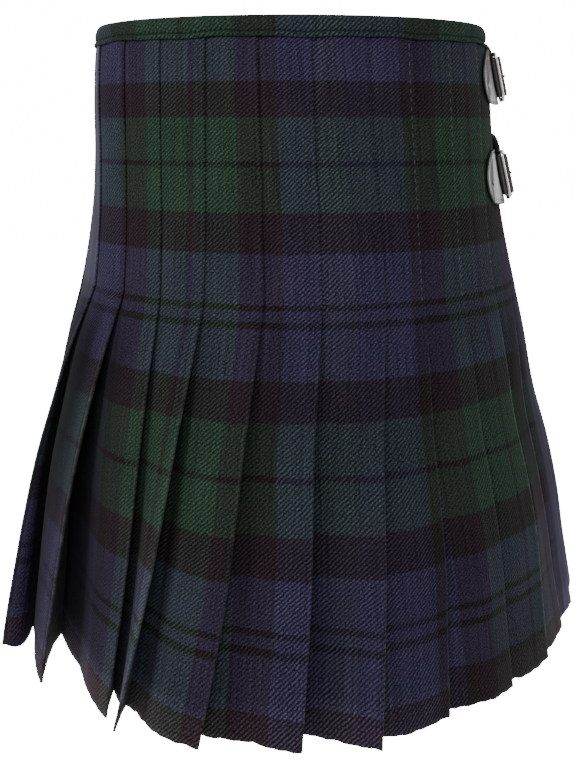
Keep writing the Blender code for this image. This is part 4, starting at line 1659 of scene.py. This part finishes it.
@dataclass
class Slab:
    """A leather strap or tab: a path with a half height, a rounded rim and a creased border."""

    thickness: float
    border: float               # the crease line lies this far inside the rim
    rim: float = 0.8            # radius of the rounded rim
    groove: float = 0.30        # depth of the crease
    groove_width: float = 0.55
    hole: tuple[float, float] = (1.4, 2.2)      # a hole's radius at its foot and at its rim
    hole_depth: float = 1.3     # as a share of half the thickness
    across: int = 46            # columns of points across each face

    def places(self, path: Array) -> tuple[Array, Array]:
        """Return x and y over the slab, closer together towards its two long edges."""
        share = np.sin(np.linspace(-math.pi / 2.0, math.pi / 2.0, self.across))[None, :]
        y = path[:, 2:3] * share
        return np.broadcast_to(path[:, :1], y.shape), y

    def grid(self, path: Array, inside: Array, place: Place,
             holes: tuple[tuple[float, float], ...]) -> tuple[Array, list]:
        """Work out the slab's closed skin.

        Half the thickness is a quarter circle of the distance from the outline up to the rim's
        radius, less a bell-shaped crease inside it and a dip at each hole.

        Args:
            path: rows of the middle (x, w) and half the height there.
            inside: distance inside the outline at each point of the slab.
            place: puts (x, y, w) in space.
            holes: (x, y) of punched holes.

        Returns:
            The points as a closed grid, and its faces with both ends capped.
        """
        run = np.gradient(path[:, :2], axis=0)
        run /= np.linalg.norm(run, axis=1, keepdims=True)
        x, y = self.places(path)
        inside = np.clip(inside, 0.0, None)
        bend = np.clip(1.0 - inside / self.rim, 0.0, 1.0)
        half = self.thickness / 2.0 * np.sqrt(np.clip(1.0 - bend * bend, 0.0, 1.0))
        relief = self.groove * np.exp(-((inside - self.border) / self.groove_width) ** 2)
        for hole_x, hole_y in holes:
            radius = np.hypot(x - hole_x, y - hole_y)
            relief = relief + (self.hole_depth * self.thickness / 2.0
                               * (1.0 - eased(radius, *self.hole)))
        skins = [place(x + run[:, 1:2] * off, y, path[:, 1:2] - run[:, :1] * off)
                 for off in (relief - half, half)]
        ring = np.concatenate([skins[0], skins[1][:, -2:0:-1]], axis=1)
        rows, columns = ring.shape[:2]
        faces = grid_faces(rows, columns, closed=True).tolist()
        faces.append(list(range(columns)))
        faces.append([(rows - 1) * columns + index for index in range(columns - 1, -1, -1)])
        return ring, faces


@dataclass
class BuckleSet:
    """One buckle at the wearer's right hip: its tab, frame, strap and prong."""

    form: WornForm
    buckle: Buckle
    leather: Material               # finish of the tab and strap
    chrome: Material                # and of the frame and prong
    leather_wall: float = 1.8
    strap_wall: float = 2.0
    tab_length: float = 24.0
    tab_round: float = 22.0
    strap_half: float = 15.5
    strap_tail: float = -2.5
    strap_round: float = 3.3
    strap_widens: float = 2.0       # the free length is this much taller to each side
    strap_lands: tuple[float, float] = (38.0, 84.0)     # from the buckle's plane to the apron
    strap_climbs: tuple[float, float] = (36.0, 66.0)
    strap_crest: float = 50.0       # the free length arches most here
    strap_reach: tuple[float, float] = (12.0, 17.0)     # and this far to each side
    strap_sewn: float = 32.0
    stitch_inset: float = 3.2       # the strap's stitches lie this far inside its edges
    stitch_pitch: float = 3.2
    stitch_size: tuple[float, float] = (1.15, 0.36)     # half the length and width of a stitch
    stitch_sunk: float = 0.20
    stitch_proud: float = 0.28
    frame_half: float = 19.5
    frame_bow: float = 3.5

    def __post_init__(self) -> None:
        """Work out the buckle's seat."""
        self.seat = Seat(self.form, self.buckle)
        self.name = self.buckle.value[0]

    @property
    def hook(self) -> float:
        """Height of the centre bar above the inner face of the leather."""
        return self.leather_wall + SEAM + BAR_HALF * math.sqrt(2.0)

    def bow_at(self, x: Array) -> Array:
        """Return the height of the frame's middle: a parabola that rises to both end bars."""
        reach = (FRAME_X[1] - FRAME_X[0]) / 2.0
        return self.hook + self.frame_bow * ((x - BAR_X) / reach) ** 2

    def leather_piece(self, kind: str, points: Array, faces: list, polish: float) -> Piece:
        """Finish a tab or strap.

        Args:
            kind: which of them.
            points: its points.
            faces: its faces.
            polish: how far it is polished.

        Returns:
            The piece.
        """
        made = new_object(f"buckle_{kind}_{self.name}", points, faces, self.leather)
        faced_out(made)
        mark(made, "polish", np.full(len(made.data.polygons), polish))
        return stands_for(made, f"{kind}_{self.name}")

    def chrome_piece(self, kind: str, node: str, points: Array, faces: list) -> Piece:
        """Finish a frame or prong.

        Args:
            kind: which of them.
            node: the first word of the node it stands for.
            points: its points.
            faces: its faces.

        Returns:
            The piece.
        """
        made = new_object(f"buckle_{kind}_{self.name}", points, faces, self.chrome)
        faced_out(made)
        return stands_for(made, f"{node}_{self.name}")

    def build_tab(self) -> Piece:
        """Build the round-ended tab, whose front end turns up round the centre bar.

        Returns:
            The tab.
        """
        half_wall = self.leather_wall / 2.0
        end = RoundEnd(-self.tab_length, self.tab_round, TAB_HALF_HEIGHT)
        end_x, end_y = end.arc(26)
        flat_x = np.linspace(end.tip + end.length, BAR_X, 20)[1:-1]
        narrow = between(end.tall, self.strap_half, eased(flat_x, 1.5, 9.0))
        loop = np.stack(arc(BAR_X, self.hook, self.hook - half_wall, -90.0, 125.0, 26), axis=-1)
        path = np.concatenate([np.column_stack([level(end_x, half_wall), end_y]),
                               np.column_stack([level(flat_x, half_wall), narrow]),
                               np.column_stack([loop, np.full(len(loop), self.strap_half)])])
        slab = Slab(self.leather_wall, border=2.6)
        x, y = slab.places(path)
        inside = end.within(x, y, path[:, 2:3] - np.abs(y))
        points, faces = slab.grid(path, inside, self.seat.leather, TAB_HOLES)
        return self.leather_piece("tab", points, faces, 1.0)

    def strap_rows(self) -> Array:
        """Lead the strap's middle from its tail over the centre bar to past the frame.

        Returns:
            The middle's points, as (x, w).
        """
        half = self.strap_wall / 2.0
        tail = self.leather_wall + SEAM + half
        over = 2.0 * self.hook + SEAM + half
        back, front = FRAME_X[0] + FRAME_RIM, FRAME_X[1] - FRAME_RIM
        under = float(self.bow_at(np.array(front))) - BAR_HALF - SEAM - half
        return np.array(((1.0, tail), (back + 0.5, tail), (BAR_X - 5.0, over - 0.6),
                         (BAR_X, over), (BAR_X + 5.0, over - 0.6),
                         (front - 1.5, under), (FRAME_X[1] + 2.0, under)))

    def stitch_line(self, stop: float) -> Array:
        """Return the stitches of the strap's sewn end: a row along each side and across each end.

        Args:
            stop: the strap's sewn end.

        Returns:
            The middle and the half size of each stitch, as (x, y, half length, half height).
        """
        side = self.strap_half - self.stitch_inset
        near, far = stop - self.strap_sewn + 5.0, stop - self.stitch_inset
        half = self.stitch_pitch / 2.0
        run = np.arange(near + half, far, self.stitch_pitch)
        rise = np.arange(-side + half, side, self.stitch_pitch)
        rows = [level(run, edge, *self.stitch_size) for edge in (-side, side)]
        rows += [level(rise, edge, *self.stitch_size)[:, [1, 0, 3, 2]] for edge in (near, far)]
        return np.concatenate(rows)

    def stitch_boxes(self, stop: float, height: float, place: Place) -> tuple[Array, Array]:
        """Raise each stitch as a box that narrows upwards, sunk a little into the strap.

        Args:
            stop: the strap's sewn end.
            height: the strap's outer face.
            place: puts (x, y, w) in space.

        Returns:
            Eight points for each stitch, and the faces by the points' own numbers.
        """
        middle = self.stitch_line(stop)
        sign = np.array(((-1.0, -1.0), (1.0, -1.0), (1.0, 1.0), (-1.0, 1.0)))
        x = middle[:, :1] + middle[:, 2:3] * sign[:, 0]
        y = middle[:, 1:2] + middle[:, 3:4] * sign[:, 1]
        foot = place(x, y, height - self.stitch_sunk)
        head = place(between(middle[:, :1], x, 0.8), between(middle[:, 1:2], y, 0.8),
                     height + self.stitch_proud)
        points = np.concatenate([foot, head], axis=1)
        box = np.array(((0, 1, 2, 3), (4, 5, 6, 7), (0, 1, 5, 4), (1, 2, 6, 5), (2, 3, 7, 6),
                        (3, 0, 4, 7)))
        faces = 8 * np.arange(len(middle))[:, None, None] + box
        return points.reshape(-1, 3), faces.reshape(-1, 4)

    def free_length(self, x: Array) -> Array:
        """Return a bell over the strap's free length, steeper by the frame than by the apron."""
        reach = np.where(x < self.strap_crest, *self.strap_reach)
        return np.exp(-((x - self.strap_crest) / reach) ** 2)

    def build_strap(self) -> Piece:
        """Build the strap: tail on the tab, through the frame, and down to the outer apron.

        Returns:
            The strap, with its stitches.
        """
        levels = self.strap_rows()
        tail, front = float(levels[0, 1]), float(levels[-1, 1])
        end = RoundEnd(self.strap_tail, self.strap_round, self.strap_half)
        apron_edge = float(fold_line(RIGHT_END, np.array(self.seat.down))) + APRON_REVEAL
        stop = apron_edge - self.seat.root + self.strap_sewn
        rows = np.concatenate([level(end.arc(18)[0], tail), smooth_path(levels, 0.9),
                               level(np.linspace(self.strap_lands[0], stop, 30), front)])
        before = np.clip((end.tip + end.length - rows[:, 0]) / end.length, 0.0, 1.0)
        tall = end.tall * np.sqrt(np.clip(1.0 - before ** 2, 0.0009, 1.0))
        path = np.column_stack([rows, tall + self.strap_widens * self.free_length(rows[:, 0])])
        rest = APRON_FACE + SEAM - LEATHER_OFF + self.strap_wall / 2.0

        def place(x: Array, y: Array, w: Array) -> Array:
            """Put the strap on the buckle's plane by the frame and on the apron at its end.

            Args:
                x: places along the strap.
                y: places across it.
                w: heights.

            Returns:
                The points.
            """
            height = (y - self.seat.climb * eased(x, *self.strap_climbs)
                      - self.seat.arch * self.free_length(x))
            return between(self.seat.leather(x, height, w),
                           self.seat.on_cloth(x, height, w - front + rest),
                           eased(x, *self.strap_lands)[..., None])

        slab = Slab(self.strap_wall, border=2.2)
        x, y = slab.places(path)
        border = end.tall + self.strap_widens * self.free_length(x) - np.abs(y)
        inside = np.minimum(end.within(x, y, border), stop - x + 0.2)
        points, faces = slab.grid(path, inside, place, STRAP_HOLES)
        points = points.reshape(-1, 3)
        thread, boxes = self.stitch_boxes(stop, front + self.strap_wall / 2.0, place)
        return self.leather_piece("strap", np.concatenate([points, thread]),
                                  faces + (boxes + len(points)).tolist(), 0.0)

    def rod(self, path: Array, radius: float | Array, flat: float, closed: bool,
            facets: int = 10) -> tuple[Array, list]:
        """Carry an oval section along a path in the seat's own directions.

        Args:
            path: (x, y, w) of the middle line.
            radius: half the section's width, or a value for each point.
            flat: half the section's thickness over half its width.
            closed: join the path's last point to its first.
            facets: points round the section.

        Returns:
            The points, and the faces with any ends capped.
        """
        if closed:
            run = np.roll(path, -1, axis=0) - np.roll(path, 1, axis=0)
        else:
            run = np.gradient(path, axis=0)
        run /= np.linalg.norm(run, axis=1, keepdims=True)
        side = np.cross(run, np.array((0.0, 0.0, 1.0)))
        side /= np.linalg.norm(side, axis=1, keepdims=True)
        rise = np.cross(side, run)
        angle = np.linspace(0.0, 2.0 * math.pi, facets, endpoint=False)
        across, upward = (drawn(turn(angle), 0.6)[None, :, None] for turn in (np.cos, np.sin))
        reach = np.broadcast_to(radius, len(path))[:, None, None]
        local = (path[:, None, :] + side[:, None, :] * across * reach
                 + rise[:, None, :] * upward * flat * reach)
        points = self.seat.on_plane(local[..., 0], local[..., 1], local[..., 2])
        last = (len(path) - 1) * facets
        faces = grid_faces(len(path), facets, closed=True).tolist()
        if closed:
            first = np.arange(facets)
            beside = (first + 1) % facets
            faces += np.stack([last + first, first, beside, last + beside], axis=-1).tolist()
        else:
            faces += [list(range(facets)), list(range(last, last + facets))]
        return points.reshape(-1, 3), faces

    def build_frame(self) -> Piece:
        """Build the frame: a bowed rim with round corners, and the centre bar.

        The rim's path is the signed powers of a cosine and a sine.

        Returns:
            The frame.
        """
        half_rim = FRAME_RIM / 2.0
        middle = (FRAME_X[0] + FRAME_X[1]) / 2.0
        reach_x = (FRAME_X[1] - FRAME_X[0]) / 2.0 - half_rim
        reach_y = self.frame_half - half_rim
        angle = np.linspace(0.0, 2.0 * math.pi, 96, endpoint=False)
        squareness = 2.0 / 9.0
        x = middle + reach_x * drawn(np.cos(angle), squareness)
        y = reach_y * drawn(np.sin(angle), squareness)
        rim, faces = self.rod(np.stack([x, y, self.bow_at(x)], axis=-1), half_rim,
                              BAR_HALF / half_rim, True, 12)
        bar_path = level(np.linspace(-reach_y, reach_y, 24), BAR_X, self.hook)[:, [1, 0, 2]]
        bar, bar_faces = self.rod(bar_path, BAR_HALF, 1.0, False)
        faces += [[index + len(rim) for index in face] for face in bar_faces]
        return self.chrome_piece("frame", "buckle", np.concatenate([rim, bar]), faces)

    def build_prong(self) -> Piece:
        """Build the prong: a tapered rod from the centre bar to the top of the front bar.

        Returns:
            The prong.
        """
        over = float(self.strap_rows()[3, 1]) + self.strap_wall / 2.0 + SEAM
        front = float(self.bow_at(np.array(FRAME_X[1]))) + BAR_HALF + SEAM
        table = np.array(((BAR_X - 1.0, over, 0.8), (BAR_X + 3.0, over, 0.8),
                          (FRAME_X[1] - FRAME_RIM - 1.0, front + 0.4, 0.75),
                          (FRAME_X[1] - 0.7, front - 0.35, 0.5)))
        x, w, radius = smooth_path(table, 0.8).T
        path = np.stack([x, np.zeros(len(x)), w + 0.1], axis=-1)
        return self.chrome_piece("prong", "prong", *self.rod(path, radius, 1.0, False))

    def build(self) -> list[Piece]:
        """Build the whole set."""
        return [self.build_tab(), self.build_frame(), self.build_strap(), self.build_prong()]


# ---------------------------------------------------------------- studio
@dataclass(frozen=True)
class Lamp:
    """A round soft light that shines at the middle of the kilt. Lengths are metres."""

    name: str
    place: tuple[float, float, float]
    size: float
    watts: float

    def build(self, target: tuple[float, float, float]) -> None:
        """Hang the light, turned to its target: down by its slope, and round by its bearing.

        Args:
            target: what it shines at.
        """
        lamp = bpy.data.lights.new(self.name, "AREA")
        lamp.shape = "DISK"
        lamp.size = self.size
        lamp.energy = self.watts
        made = bpy.data.objects.new(self.name, lamp)
        made.location = self.place
        x, y, z = np.array(target) - np.array(self.place)
        made.rotation_euler = (math.atan2(math.hypot(x, y), -z), 0.0,
                               math.atan2(y, x) - math.pi / 2.0)
        bpy.context.scene.collection.objects.link(made)


@dataclass
class Studio:
    """A pale floor, soft light and the camera. Lengths are metres."""

    floor_z: float = -0.90
    floor_half: float = 6.0
    lens: float = 57.81
    camera_place: tuple[float, float, float] = (-0.0029, -0.77, -0.0745)
    camera_pitch: float = 12.0
    camera_shift: float = -0.1083
    white: float = 16.0         # the backdrop is this bright to the camera alone
    surround: float = 0.45
    target: tuple[float, float, float] = (0.0, 0.0, -0.25)
    lamps: tuple[Lamp, ...] = (Lamp("key", (-1.90, -0.80, 1.10), 1.1, 40.0),
                               Lamp("fill", (0.10, -2.20, 1.35), 1.4, 33.0),
                               Lamp("rim", (2.10, 0.60, 0.30), 0.9, 16.0),
                               Lamp("front", (-0.70, 2.30, 1.20), 1.4, 52.0))

    def build_floor(self) -> None:
        """Lay the floor."""
        side = np.array((-self.floor_half, self.floor_half)) / MM
        x, y = np.meshgrid(side, side)
        points = np.stack([x, y, np.full_like(x, self.floor_z / MM)], axis=-1)
        material, shade, surface = new_material("studio_floor")
        seen = shade.node("ShaderNodeLightPath").outputs["Is Camera Ray"]
        shade.fill(surface, Base_Color=(0.94, 0.94, 0.94, 1.0), Roughness=0.9,
                   Emission_Color=(1.0, 1.0, 1.0, 1.0),
                   Emission_Strength=shade.times(seen, self.white))
        floor = new_object("studio_floor", points, [[0, 1, 3, 2]], material, smooth=False)

    def build_light(self) -> None:
        """Hang soft lights at the upper left, above, at the right and before, and a surround."""
        world = bpy.data.worlds.new("studio")
        world.use_nodes = True
        shade = Shading(world.node_tree)
        seen = shade.node("ShaderNodeLightPath").outputs["Is Camera Ray"]
        strength = shade.math("MULTIPLY_ADD", seen, self.white - self.surround, self.surround)
        shade.fill(world.node_tree.nodes["Background"], Color=(1.0, 1.0, 1.0, 1.0),
                   Strength=strength)
        bpy.context.scene.world = world
        for lamp in self.lamps:
            lamp.build(self.target)

    def build_camera(self) -> None:
        """Set the camera behind the wearer, a little below the waist and looking down."""
        data = bpy.data.cameras.new("camera")
        data.sensor_fit = "HORIZONTAL"
        data.sensor_width = 36.0
        data.lens = self.lens
        data.shift_y = self.camera_shift
        data.clip_start = 0.01
        made = bpy.data.objects.new("camera", data)
        made.location = self.camera_place
        made.rotation_euler = (math.radians(90.0 - self.camera_pitch), 0.0, 0.0)
        bpy.context.scene.collection.objects.link(made)
        bpy.context.scene.camera = made

    def build(self) -> None:
        """Build the whole studio."""
        self.build_floor()
        self.build_light()
        self.build_camera()


def main() -> None:
    """Build the kilt on its frame, piece by piece."""
    logging.basicConfig(level=logging.INFO, format="%(name)s: %(message)s")
    Studio().build()
    tartan = TartanFinish()
    cloth = tartan.build(Groups(tartan))
    leather = LeatherFinish().build()
    chrome = ChromeFinish().build()
    form = WornForm()
    pieces = [PleatedCloth(form, cloth).build()]
    pieces += [Apron(form, cloth).build(panel) for panel in Panel]
    pieces += [Waistband(form, cloth).build(stretch) for stretch in Stretch]
    for buckle in Buckle:
        pieces += BuckleSet(form, buckle, leather, chrome).build()
    for piece in pieces:
        LOG.info("%s: %d faces", piece.name, len(piece.data.polygons))


if __name__ == "__main__":
    main()
